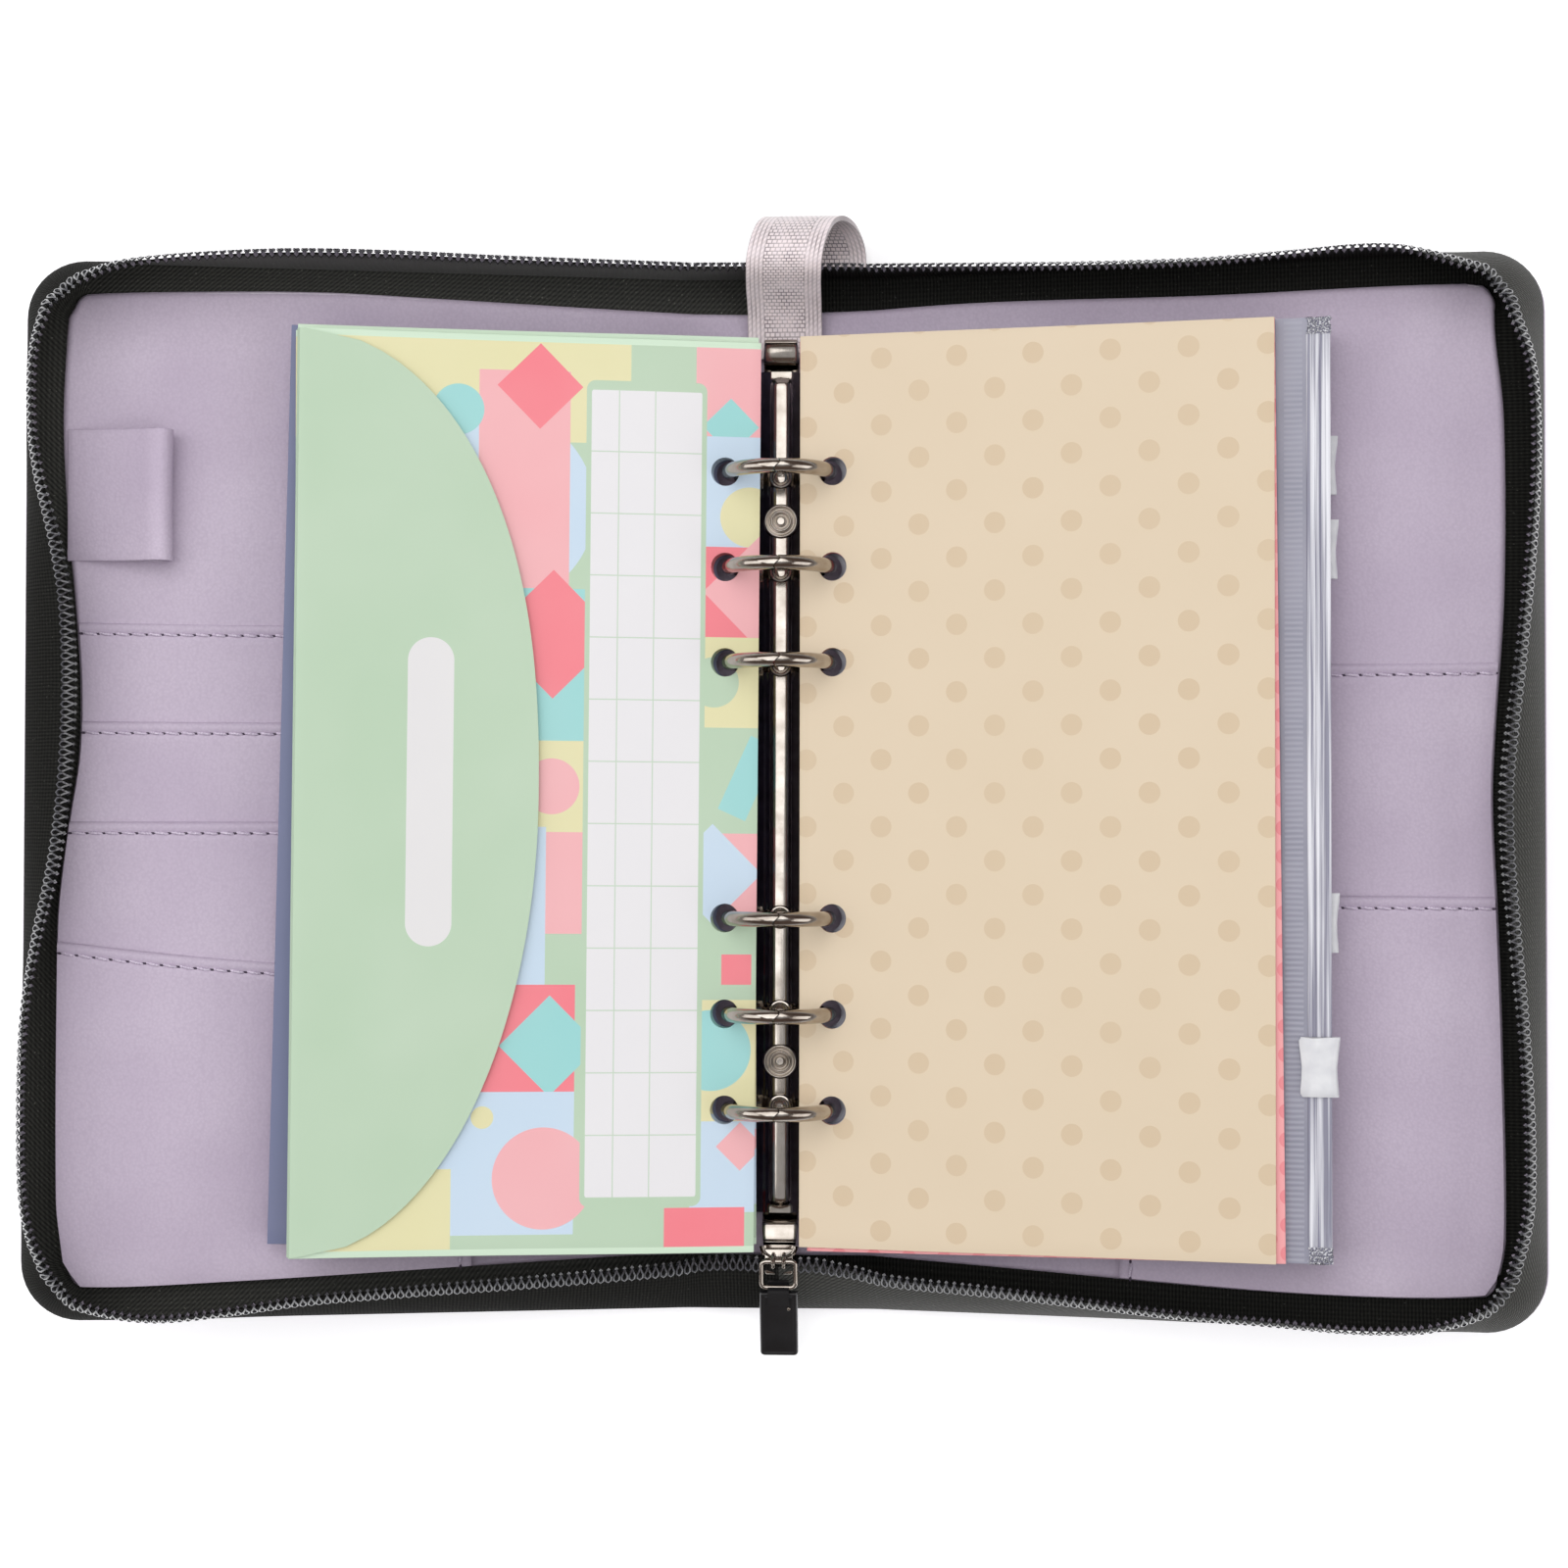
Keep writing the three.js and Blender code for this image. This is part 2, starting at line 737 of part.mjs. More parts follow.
function buildRightLeaves() {
  const half = leafLength / 2;
  const dividerDepth = sheetGap + dividerThickness / 2;
  const card = box(
    leafInner,
    leafInner + dividerWidth,
    -half,
    half,
    -dividerDepth - dividerThickness / 2,
    -dividerDepth + dividerThickness / 2,
  );
  addPiece(leafGroup(1, leafSlope), 'divider', cut(card, leafHoles(1, dividerDepth)), creamCard);
  const pinkDepth = dividerDepth + dividerThickness / 2 + sheetGap + rightEnvelopeThickness / 2;
  const plainDepth = pinkDepth + rightEnvelopeThickness + sheetGap;
  const pink = envelope(1, pinkWidth, rightEnvelopeThickness, pinkDepth);
  addPiece(leafGroup(1, leafSlope), 'envelope_5', pink, pinkPaper);
  const plain = envelope(1, envelopeWidth, rightEnvelopeThickness, plainDepth);
  addPiece(leafGroup(1, leafSlope), 'envelope_6', plain, printedPaper);
  const pouchTop = plainDepth + rightEnvelopeThickness / 2 + sheetGap + filmThickness / 2;
  const fan = 1;
  pouchSliderPlaces.forEach((share, i) => {
    const y = share * half;
    const depth = pouchTop + i * (filmThickness + sheetGap);
    const group = leafGroup(1, leafSlope - i * fan);
    addPiece(group, `zip_pouch_${i + 1}`, pouch(1, depth), clearFilm);
    addPiece(group, `pouch_slider_${i + 1}`, pouchSlider(1, depth, y), milkyPlastic);
  });
}

// Pockets are sheets laid over the lining one above the other, each lower than the last
function pocket(side, seam, top, level, dip = 0) {
  const edge = coverWidth - hemWidth - sheetGap;
  const bottom = -halfHeight + hemWidth + sheetGap;
  const corner = Math.max(coverCorner - hemWidth, 1) - sheetGap;
  const shape = new THREE.Shape();
  shape.moveTo(side * seam, bottom);
  shape.lineTo(side * (edge - corner), bottom);
  shape.absarc(side * (edge - corner), bottom + corner, corner, -Math.PI / 2, side > 0 ? 0 : -Math.PI, side < 0);
  shape.lineTo(side * edge, top);
  shape.quadraticCurveTo(side * (edge + seam) / 2, top - dip * 0.15, side * seam, top - dip);
  shape.closePath();
  return sheet(shape, level, pocketThickness);
}

function buildPockets(frontCover, backCover) {
  const first = stackHeight - hingeZ + sheetGap;
  const step = pocketThickness + sheetGap;
  frontPocketTops.forEach((share, i) => {
    const sheetGeometry = pocket(-1, pocketSeam, share * halfHeight, first + i * step);
    addPiece(frontCover, `card_pocket_${i + 1}`, sheetGeometry, lilacLeather);
  });
  const slipLevel = first + frontPocketTops.length * step;
  const slip = pocket(-1, pocketSeam, slipPocketTop * halfHeight, slipLevel, slipPocketDip);
  addPiece(frontCover, 'slip_pocket', slip, lilacLeather);
  backPocketTops.forEach((share, i) => {
    const sheetGeometry = pocket(1, backPocketSeam, share * halfHeight, first + i * step);
    addPiece(backCover, `back_pocket_${i + 1}`, sheetGeometry, lilacLeather);
  });
}

function archPoints(halfWidth, height, steps) {
  const points = [];
  for (let i = 0; i <= steps; i += 1) {
    const angle = Math.PI * (1 - i / steps);
    points.push([halfWidth * Math.cos(angle), height * Math.sin(angle) ** 0.7]);
  }
  return points;
}

function buildPenLoop(group) {
  const low = stackHeight - hingeZ + sheetGap;
  const foot = 2.5;
  const outer = penLoopWidth / 2;
  const steps = 10;
  const over = archPoints(outer - foot, penLoopHeight, steps);
  const under = archPoints(outer - foot - penLoopWall, penLoopHeight - penLoopWall, steps).reverse();
  const profile = [
    [-outer, 0],
    [-outer, penLoopWall],
    ...over.slice(1, -1).map(([x, z]) => [x, Math.max(z, penLoopWall)]),
    [outer, penLoopWall],
    [outer, 0],
    ...under,
  ];
  const placed = profile.map(([x, z]) => [x - (coverWidth - penLoopInset), z + low]);
  const loop = alongY(placed, penLoopAlong - penLoopLength / 2, penLoopAlong + penLoopLength / 2);
  addPiece(group, 'pen_loop', loop, lilacLeather);
}

// The strap rises over the top end of the spine, turns outside it and comes back beside itself
function buildStrap() {
  const centre = 0.7;
  const route = [
    [halfHeight - leafEndMargin + 1.9, stackHeight + 1.4, 0],
    [halfHeight - leafEndMargin / 2, stackHeight + strapRise * 0.45, 0],
    [halfHeight - strapReach * 0.15, stackHeight + strapRise, 0],
    [halfHeight + strapReach * 0.48, stackHeight + strapRise * 0.96, 0.15],
    [halfHeight + strapReach * 0.97, stackHeight + strapRise * 0.55, 0.4],
    [halfHeight + strapReach, stackHeight + strapRise * 0.04, 0.65],
    [halfHeight + strapReach * 0.58, hingeZ - 0.2, 0.9],
    [halfHeight + sheetGap * 2, hingeZ + 0.2, 1],
  ];
  const curve = new THREE.CatmullRomCurve3(route.map(([y, z, share]) => new THREE.Vector3(share, y, z)));
  const steps = 22;
  const sections = [];
  for (let i = 0; i <= steps; i += 1) {
    const here = curve.getPoint(i / steps);
    const tangent = curve.getTangent(i / steps);
    const normal = new THREE.Vector3(0, -tangent.z, tangent.y).normalize().multiplyScalar(strapThickness / 2);
    const x = centre + strapShift * here.x;
    const corner = (across, up) => new THREE.Vector3(
      x + across * strapWidth / 2,
      here.y + up * normal.y,
      here.z + up * normal.z,
    );
    sections.push([corner(-1, -1), corner(1, -1), corner(1, 1), corner(-1, 1)]);
  }
  addPiece(wallet, 'wrist_strap', loft(sections), wovenRibbon);
}

// Zip slider with a bridge, its wire bail, and the tab that hangs on the bail
const sliderLow = stackHeight + spineTapeHeight + 0.1;
const sliderTop = sliderLow + sliderThickness;
const sliderInner = -halfHeight + spineTapeLean + sliderLength + 0.5;
const sliderOuter = sliderInner - sliderLength;
const bridgeWall = 0.8;
const bailPivotY = (sliderInner + sliderOuter) / 2;
const bailPivotZ = sliderTop + sheetGap + bailWire / 2;

function buildZipSlider() {
  const plan = shapeOf([
    [-sliderHalfWidth, sliderInner],
    [sliderHalfWidth, sliderInner],
    [sliderHalfWidth * 0.7, sliderOuter],
    [-sliderHalfWidth * 0.7, sliderOuter],
  ]);
  const clearHalf = bailWire / 2 + 2 * sheetGap;
  const clearTop = bailPivotZ + bailWire / 2 + sheetGap;
  const bridge = alongX(shapeOf([
    [bailPivotY - clearHalf - bridgeWall, sliderTop - 0.5],
    [bailPivotY - clearHalf - bridgeWall, clearTop + bridgeWall],
    [bailPivotY + clearHalf + bridgeWall, clearTop + bridgeWall],
    [bailPivotY + clearHalf + bridgeWall, sliderTop - 0.5],
    [bailPivotY + clearHalf, sliderTop - 0.5],
    [bailPivotY + clearHalf, clearTop],
    [bailPivotY - clearHalf, clearTop],
    [bailPivotY - clearHalf, sliderTop - 0.5],
  ]), -1.6, 1.6);
  const body = sheet(plan, sliderLow, sliderThickness);
  addPiece(wallet, 'zip_slider', join([body, bridge]), polishedSteel);
}

function buildBail() {
  const group = new THREE.Group();
  group.position.set(0, bailPivotY, bailPivotZ);
  group.rotation.x = radians(bailDroop);
  wallet.add(group);
  const half = bailWire / 2;
  const ring = shapeOf([
    [-bailHalfWidth, half],
    [bailHalfWidth, half],
    [bailHalfWidth, -bailLength - half + 1],
    [bailHalfWidth - 1, -bailLength - half],
    [-bailHalfWidth + 1, -bailLength - half],
    [-bailHalfWidth, -bailLength - half + 1],
  ]);
  ring.holes.push(shapeOf([
    [-bailHalfWidth + bailWire, -half],
    [-bailHalfWidth + bailWire, -bailLength + half],
    [bailHalfWidth - bailWire, -bailLength + half],
    [bailHalfWidth - bailWire, -half],
  ]));
  addPiece(group, 'zip_bail', sheet(ring, -half, bailWire), polishedSteel);
  const tabGroup = new THREE.Group();
  tabGroup.position.y = -bailLength;
  tabGroup.rotation.x = radians(tabDroop - bailDroop);
  group.add(tabGroup);
  return tabGroup;
}

function buildPullTab(group) {
  const clear = bailWire * 0.71 + sheetGap;
  const neckHalf = bailHalfWidth - bailWire - 2 * sheetGap;
  const neckLength = 3.4;
  const neck = new THREE.Shape();
  neck.absarc(0, 0, clear + 0.6, -Math.PI / 2, Math.PI / 2);
  neck.lineTo(-neckLength, tabThickness / 2);
  neck.lineTo(-neckLength, -tabThickness / 2);
  neck.closePath();
  const eye = new THREE.Path();
  eye.absarc(0, 0, clear, 0, full);
  neck.holes.push(eye);
  const body = box(
    -tabWidth / 2,
    tabWidth / 2,
    -tabLength,
    -(bailWire / 2 + 2 * sheetGap),
    -tabThickness / 2,
    tabThickness / 2,
  );
  addPiece(group, 'zip_pull_tab', join([alongX(neck, -neckHalf, neckHalf), body]), blackLeather);
}

buildSpine();
buildSpineTape(-1, 'spine_tape_bottom', spineTapeHeight, spineTapeLean);
buildSpineTape(1, 'spine_tape_top', spineTapeHeight * 0.8, 0);
buildStrap();
buildCoverPlate();
buildRivet(rivetSpacing / 2, 'rivet_top');
buildRivet(-rivetSpacing / 2, 'rivet_bottom');
buildHingePlate(-1, 'hinge_plate_left');
buildHingePlate(1, 'hinge_plate_right');
buildRings(-1, 'left');
buildRings(1, 'right');
buildLever(1, 'lever_top');
buildLever(-1, 'lever_bottom');
buildZipSlider();
buildPullTab(buildBail());

// Inward lean of the tape's free edge as a share of its height, at shares of the way round from the
// bottom hinge to the top hinge
const frontLeans = [
  [0, 0.7], [0.05, 0.6], [0.12, 0.37], [0.2, 0.19], [0.28, 0.22], [0.35, 0.08], [0.42, 0.02], [0.47, 0.15],
  [0.53, 0.6], [0.58, 0.67], [0.63, 0.52], [0.7, 0.22], [0.74, 0.3], [0.82, 0.04], [1, 0],
];
const backLeans = [
  [0, 0.7], [0.06, 0.6], [0.13, 0.37], [0.22, 0.15], [0.29, 0.37], [0.35, 0.37], [0.43, 0.44],
  [0.53, 0.44], [0.6, 0.26], [0.68, 0.22], [0.74, 0.4], [0.82, 0.04], [1, 0],
];

const frontCover = coverGroup(-1);
buildCover(frontCover, -1, 'front_cover');
buildTape(frontCover, -1, 'front', frontLeans);
const backCover = coverGroup(1);
buildCover(backCover, 1, 'back_cover');
buildTape(backCover, 1, 'back', backLeans);
buildPockets(frontCover, backCover);
buildPenLoop(frontCover);
buildLeftLeaves();
buildRightLeaves();

export default wallet;
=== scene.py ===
# Cash envelope wallet lying open: looks, detail pieces, floor, lamps and camera.
# Blender units are metres in the frame of the CAD part. Piece values are in millimetres.
import math
import random
import bpy
from mathutils import Matrix, Vector


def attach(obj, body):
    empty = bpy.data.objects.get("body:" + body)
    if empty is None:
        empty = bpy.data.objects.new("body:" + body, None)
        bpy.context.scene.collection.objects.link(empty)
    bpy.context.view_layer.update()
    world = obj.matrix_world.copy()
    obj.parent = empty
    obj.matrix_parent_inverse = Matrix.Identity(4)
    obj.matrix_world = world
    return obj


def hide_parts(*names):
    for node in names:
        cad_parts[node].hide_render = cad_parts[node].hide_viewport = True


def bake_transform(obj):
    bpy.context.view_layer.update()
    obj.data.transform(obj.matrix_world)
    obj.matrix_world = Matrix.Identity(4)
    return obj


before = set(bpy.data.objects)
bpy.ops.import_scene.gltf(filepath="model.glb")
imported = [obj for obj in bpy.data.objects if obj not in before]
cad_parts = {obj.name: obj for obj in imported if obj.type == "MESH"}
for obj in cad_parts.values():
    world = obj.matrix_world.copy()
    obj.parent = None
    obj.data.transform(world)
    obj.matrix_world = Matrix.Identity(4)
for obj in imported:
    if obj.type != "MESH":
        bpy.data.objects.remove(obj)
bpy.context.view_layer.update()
mm = 0.001
chance = random.Random(7)
waveTurn = math.pi / 10  # a wave texture of scale 1 repeats once in this length


# Small tools

def deselectAll():
    if bpy.context.mode != "OBJECT":
        bpy.ops.object.mode_set(mode="OBJECT")
    bpy.ops.object.select_all(action="DESELECT")


def pick(*pieces):
    deselectAll()
    for piece in pieces:
        piece.select_set(True)
    bpy.context.view_layer.objects.active = pieces[0]


def newest(name):
    made = bpy.context.view_layer.objects.active
    made.name = name
    made.data.name = name
    return made


def modify(piece, kind, **values):
    pick(piece)
    modifier = piece.modifiers.new(kind.title(), kind)
    for key, value in values.items():
        setattr(modifier, key, value)
    bpy.ops.object.modifier_apply(modifier=modifier.name)


def selectWhere(piece, test, mode="FACE"):
    pick(piece)
    bpy.ops.object.mode_set(mode="EDIT")
    bpy.ops.mesh.select_mode(type=mode)
    bpy.ops.mesh.select_all(action="DESELECT")
    bpy.ops.object.mode_set(mode="OBJECT")
    mesh = piece.data
    parts = {"FACE": mesh.polygons, "EDGE": mesh.edges, "VERT": mesh.vertices}[mode]
    for part in parts:
        part.select = bool(test(part))
    bpy.ops.object.mode_set(mode="EDIT")


def applyPlace(piece):
    pick(piece)
    bpy.ops.object.transform_apply(location=True, rotation=True, scale=True)


def smooth(piece, degrees=40):
    pick(piece)
    bpy.ops.object.shade_smooth_by_angle(angle=math.radians(degrees))


def outward(piece, merge=0.00001):
    pick(piece)
    bpy.ops.object.mode_set(mode="EDIT")
    bpy.ops.mesh.select_all(action="SELECT")
    bpy.ops.mesh.remove_doubles(threshold=merge)
    bpy.ops.mesh.normals_make_consistent(inside=False)
    bpy.ops.object.mode_set(mode="OBJECT")


def joinPieces(name, pieces):
    pick(*pieces)
    bpy.ops.object.join()
    return newest(name)


def layCopies(master, places, name):
    # one shape modelled once, then a copy with its own mesh at each place
    copies = []
    for place in places:
        twin = master.copy()
        twin.data = master.data.copy()
        twin.data.transform(place)
        bpy.context.collection.objects.link(twin)
        copies.append(twin)
    bpy.data.objects.remove(master)
    return joinPieces(name, copies)


def gridSheet(name, columns, rows, place, width=1, height=1):
    # a grid laid along the real shape; its UV map keeps the flat sheet's millimetres
    deselectAll()
    bpy.ops.mesh.primitive_grid_add(x_subdivisions=columns, y_subdivisions=rows, size=1)
    sheet = newest(name)
    shares = [(point.co.x + 0.5, point.co.y + 0.5) for point in sheet.data.vertices]
    for point, (u, v) in zip(sheet.data.vertices, shares):
        point.co = Vector(place(u, v)) * mm
    uvs = sheet.data.uv_layers[0].data
    for loop in sheet.data.loops:
        u, v = shares[loop.vertex_index]
        uvs[loop.index].uv = (u * width, v * height)
    return sheet


def wireAlong(name, points, radius, cyclic=False, sides=2, radii=None):
    # a round wire through the points, given in millimetres
    deselectAll()
    bpy.ops.curve.primitive_bezier_curve_add()
    wire = newest(name)
    wire.data.splines.clear()
    spline = wire.data.splines.new("POLY")
    spline.points.add(len(points) - 1)
    for i, (knot, point) in enumerate(zip(spline.points, points)):
        knot.co = (*(Vector(point) * mm), 1)
        knot.radius = radii[i] if radii else 1
    spline.use_cyclic_u = cyclic
    wire.data.dimensions = "3D"
    wire.data.bevel_depth = radius * mm
    wire.data.bevel_resolution = sides
    wire.data.use_fill_caps = not cyclic
    bpy.ops.object.convert(target="MESH")
    return newest(name)


def ease(share):
    share = min(max(share, 0), 1)
    return share * share * (3 - 2 * share)


def along(marks, share):
    for (low, first), (high, second) in zip(marks, marks[1:]):
        if share <= high:
            return first + (second - first) * ease((share - low) / (high - low))
    return marks[-1][1]


def mixed(first, second, share):
    return first + (second - first) * share


def dress(piece, materials, body=None, replaced=()):
    piece.data.materials.clear()
    for material in materials:
        piece.data.materials.append(material)
    if body:
        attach(piece, body)
    if replaced:
        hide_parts(*replaced)


def dressNode(name, material):
    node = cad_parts[name]
    for slot in node.material_slots:
        slot.material = material


# Materials

def linear(code):
    parts = [int(code[i:i + 2], 16) / 255 for i in (1, 3, 5)]
    return tuple(p / 12.92 if p <= 0.04045 else ((p + 0.055) / 1.055) ** 2.4 for p in parts) + (1,)


def addNode(tree, kind, settings=None, **inputs):
    # an input is named, or numbered as in _0, and takes a value or another node's output
    node = tree.nodes.new("ShaderNode" + kind)
    for key, value in (settings or {}).items():
        setattr(node, key, value)
    for key, value in inputs.items():
        socket = node.inputs[int(key[1:]) if key[0] == "_" else key.replace("_", " ")]
        if isinstance(value, bpy.types.NodeSocket):
            tree.links.new(value, socket)
        else:
            socket.default_value = value
    return node


def newMaterial(name):
    material = bpy.data.materials.new(name)
    material.use_nodes = True
    tree = material.node_tree
    shader = next(node for node in tree.nodes if node.type == "BSDF_PRINCIPLED")
    return material, tree, shader


def maths(tree, operation, first, second=0.0, third=0.0):
    return addNode(tree, "Math", {"operation": operation}, _0=first, _1=second, _2=third).outputs[0]


def tint(tree, share, first, second):
    # share 0 gives the first colour, 1 the second; a colour is a hex code or an output
    mix = addNode(tree, "Mix", {"data_type": "RGBA"})
    for socket, value in ((mix.inputs[0], share), (mix.inputs[6], first), (mix.inputs[7], second)):
        if isinstance(value, bpy.types.NodeSocket):
            tree.links.new(value, socket)
        else:
            socket.default_value = linear(value) if isinstance(value, str) else value
    return mix.outputs[2]


def rangeOf(tree, value, low, high, start, end):
    return addNode(tree, "MapRange", None, Value=value, From_Min=low, From_Max=high, To_Min=start,
                   To_Max=end).outputs[0]


def placeInMm(tree, source="Object"):
    # object coordinates in millimetres; a UV map already holds millimetres
    place = addNode(tree, "TexCoord").outputs[source]
    if source == "UV":
        return place
    return addNode(tree, "Mapping", None, Vector=place, Scale=(1000, 1000, 1000)).outputs[0]


def noiseOf(tree, place, sizeMm, detail=2.0, roughness=0.5):
    return addNode(tree, "TexNoise", None, Vector=place, Scale=1 / sizeMm, Detail=detail,
                   Roughness=roughness).outputs["Fac"]


def bumpOf(tree, height, depthMm, below=None):
    inputs = {"Height": height, "Distance": depthMm * mm, "Strength": 1.0}
    if below:
        inputs["Normal"] = below
    return addNode(tree, "Bump", None, **inputs).outputs[0]


def puLeather(name, values):
    # embossed polyurethane on knit: a soft sheen broken by pebble grain and slack creases
    material, tree, shader = newMaterial(name)
    place = placeInMm(tree)
    cells = addNode(tree, "TexVoronoi", {"feature": "SMOOTH_F1"}, Vector=place, Scale=1 / values["grain"],
                    Smoothness=0.6).outputs["Distance"]
    stretched = addNode(tree, "Mapping", None, Vector=place, Rotation=(0, 0, values["creaseTurn"]),
                        Scale=(1, 0.22, 1)).outputs[0]
    creases = noiseOf(tree, stretched, values["crease"], 3)
    slack = noiseOf(tree, place, values["slack"], 1)
    cloud = rangeOf(tree, slack, 0.3, 0.7, 0, 1)
    colour = tint(tree, cloud, values["shade"], values["light"])
    pits = rangeOf(tree, cells, 0.1, 0.75, 0, 0.35)
    colour = tint(tree, pits, colour, values["pit"])
    tree.links.new(colour, shader.inputs["Base Color"])
    grain = bumpOf(tree, cells, -values["grainDepth"])
    folds = bumpOf(tree, creases, values["creaseDepth"], grain)
    tree.links.new(bumpOf(tree, slack, values["slackDepth"], folds), shader.inputs["Normal"])
    rough = rangeOf(tree, noiseOf(tree, place, 9, 2), 0.3, 0.7, values["rough"] - 0.05, values["rough"] + 0.07)
    tree.links.new(rough, shader.inputs["Roughness"])
    shader.inputs["Sheen Weight"].default_value = values["sheen"]
    shader.inputs["Sheen Roughness"].default_value = 0.4
    return material


def zipTape(name, values, inner):
    # woven polyester: the inside shows slanted twill, the outside fine ribs across the tape
    material, tree, shader = newMaterial(name)
    place = placeInMm(tree, "UV")
    turned = addNode(tree, "Mapping", None, Vector=place, Rotation=(0, 0, values["twillTurn"] if inner else 0))
    ribs = addNode(tree, "TexWave", {"bands_direction": "X", "wave_profile": "SIN"}, Vector=turned.outputs[0],
                   Scale=waveTurn / values["ribPitch"], Distortion=values["waver"],
                   Detail_Scale=0.4).outputs["Fac"]
    picks = addNode(tree, "TexWave", {"bands_direction": "Y", "wave_profile": "SIN"}, Vector=place,
                    Scale=waveTurn / values["pickPitch"], Distortion=0.5).outputs["Fac"]
    fuzz = noiseOf(tree, place, values["fuzz"], 3)
    weave = maths(tree, "MULTIPLY_ADD", ribs, 0.7, maths(tree, "MULTIPLY", picks, 0.3))
    shade = maths(tree, "MULTIPLY", weave, rangeOf(tree, fuzz, 0.3, 0.7, 0.55, 1))
    colour = tint(tree, shade, values["groove"], values["thread"])
    lint = rangeOf(tree, noiseOf(tree, place, 0.55, 1), 0.7, 0.74, 0, 0.55)
    tree.links.new(tint(tree, lint, colour, values["lint"]), shader.inputs["Base Color"])
    tree.links.new(bumpOf(tree, weave, values["depth"]), shader.inputs["Normal"])
    shader.inputs["Roughness"].default_value = 0.82
    shader.inputs["Specular IOR Level"].default_value = values["gloss"]
    shader.inputs["Sheen Weight"].default_value = values["sheen"]
    shader.inputs["Sheen Roughness"].default_value = 0.45
    return material


def wovenRibbon(name, values):
    # metallised yarn in plain weave: pale picks in staggered rows, with four cords along each edge
    material, tree, shader = newMaterial(name)
    place = placeInMm(tree, "UV")
    crossed = addNode(tree, "Mapping", None, Vector=place, Rotation=(0, 0, math.pi / 2)).outputs[0]
    brick = addNode(tree, "TexBrick", {"offset": 0.5}, Vector=crossed, Scale=1.0, Mortar_Size=values["gap"],
                    Mortar_Smooth=0.7, Brick_Width=values["pick"], Row_Height=values["row"]).outputs["Fac"]
    parts = addNode(tree, "SeparateXYZ", None, Vector=place).outputs
    fromEdge = maths(tree, "SUBTRACT", values["width"] / 2,
                     maths(tree, "ABSOLUTE", maths(tree, "SUBTRACT", parts[1], values["width"] / 2)))
    border = maths(tree, "LESS_THAN", fromEdge, 4 * values["cord"])
    cords = maths(tree, "PINGPONG", fromEdge, values["cord"] / 2)
    furrow = rangeOf(tree, cords, 0.03, 0.17, 1, 0)
    slant = addNode(tree, "Mapping", None, Vector=place, Rotation=(0, 0, 0.7)).outputs[0]
    twist = addNode(tree, "TexWave", {"bands_direction": "X"}, Vector=slant, Scale=waveTurn / 0.8).outputs["Fac"]
    cordShade = maths(tree, "MAXIMUM", furrow, maths(tree, "MULTIPLY", twist, 0.35))
    gaps = tint(tree, border, brick, cordShade)
    patches = rangeOf(tree, noiseOf(tree, place, values["patch"], 3), 0.35, 0.65, 0.45, 1)
    dark = maths(tree, "MULTIPLY", gaps, patches)
    colour = tint(tree, noiseOf(tree, place, 1.3, 2), values["warm"], values["cool"])
    tree.links.new(tint(tree, dark, colour, values["shade"]), shader.inputs["Base Color"])
    tree.links.new(bumpOf(tree, dark, -values["depth"]), shader.inputs["Normal"])
    shader.inputs["Roughness"].default_value = 0.36
    shader.inputs["Sheen Weight"].default_value = 0.3
    return material


def clearFilm(name, values):
    # blown PVC film: cool and glossy, with a welded band of fine ribs beside the track
    material, tree, shader = newMaterial(name)
    place = placeInMm(tree, "UV")
    parts = addNode(tree, "SeparateXYZ", None, Vector=place).outputs
    ribs = addNode(tree, "TexWave", {"bands_direction": "Y"}, Vector=place, Scale=waveTurn / values["rib"],
                   Distortion=0.6).outputs["Fac"]
    band = maths(tree, "COMPARE", parts[0], *values["band"])
    ribs = maths(tree, "MULTIPLY", ribs, band)
    cloud = rangeOf(tree, noiseOf(tree, place, 14, 2), 0.3, 0.7, 0, 1)
    colour = tint(tree, cloud, values["shade"], values["light"])
    tree.links.new(tint(tree, ribs, colour, values["ribLight"]), shader.inputs["Base Color"])
    slack = bumpOf(tree, noiseOf(tree, place, 22, 1), values["slack"])
    tree.links.new(bumpOf(tree, ribs, values["ribDepth"], slack), shader.inputs["Normal"])
    shader.inputs["Roughness"].default_value = values["rough"]
    shader.inputs["IOR"].default_value = 1.53
    shader.inputs["Alpha"].default_value = values["alpha"]
    return material


def drawnTrack(name, values):
    # extruded PVC: long white streaks along it as painted highlights, and white specks where it was crushed, partly
    # crazing and partly painted glints
    material, tree, shader = newMaterial(name)
    place = placeInMm(tree, "UV")
    drawn = addNode(tree, "Mapping", None, Vector=place, Scale=(1 / values["thread"], 1 / values["run"], 1)).outputs[0]
    # painted highlight streaks running along the track
    highlightStreaks = rangeOf(tree, noiseOf(tree, drawn, 1, 3), 0.42, 0.62, 0, 1)
    parts = addNode(tree, "SeparateXYZ", None, Vector=place).outputs
    middle = maths(tree, "ABSOLUTE", maths(tree, "SUBTRACT", parts[1], values["length"] / 2))
    crushed = maths(tree, "GREATER_THAN", middle, values["length"] / 2 - values["crimp"])
    specks = rangeOf(tree, noiseOf(tree, place, values["speckle"], 2), 0.46, 0.56, 0, 1)
    colour = tint(tree, tint(tree, crushed, highlightStreaks, specks), values["shade"], values["light"])
    tree.links.new(colour, shader.inputs["Base Color"])
    tree.links.new(bumpOf(tree, maths(tree, "MULTIPLY", specks, crushed), 0.3), shader.inputs["Normal"])
    shader.inputs["Roughness"].default_value = 0.14
    shader.inputs["IOR"].default_value = 1.53
    shader.inputs["Alpha"].default_value = values["alpha"]
    return material


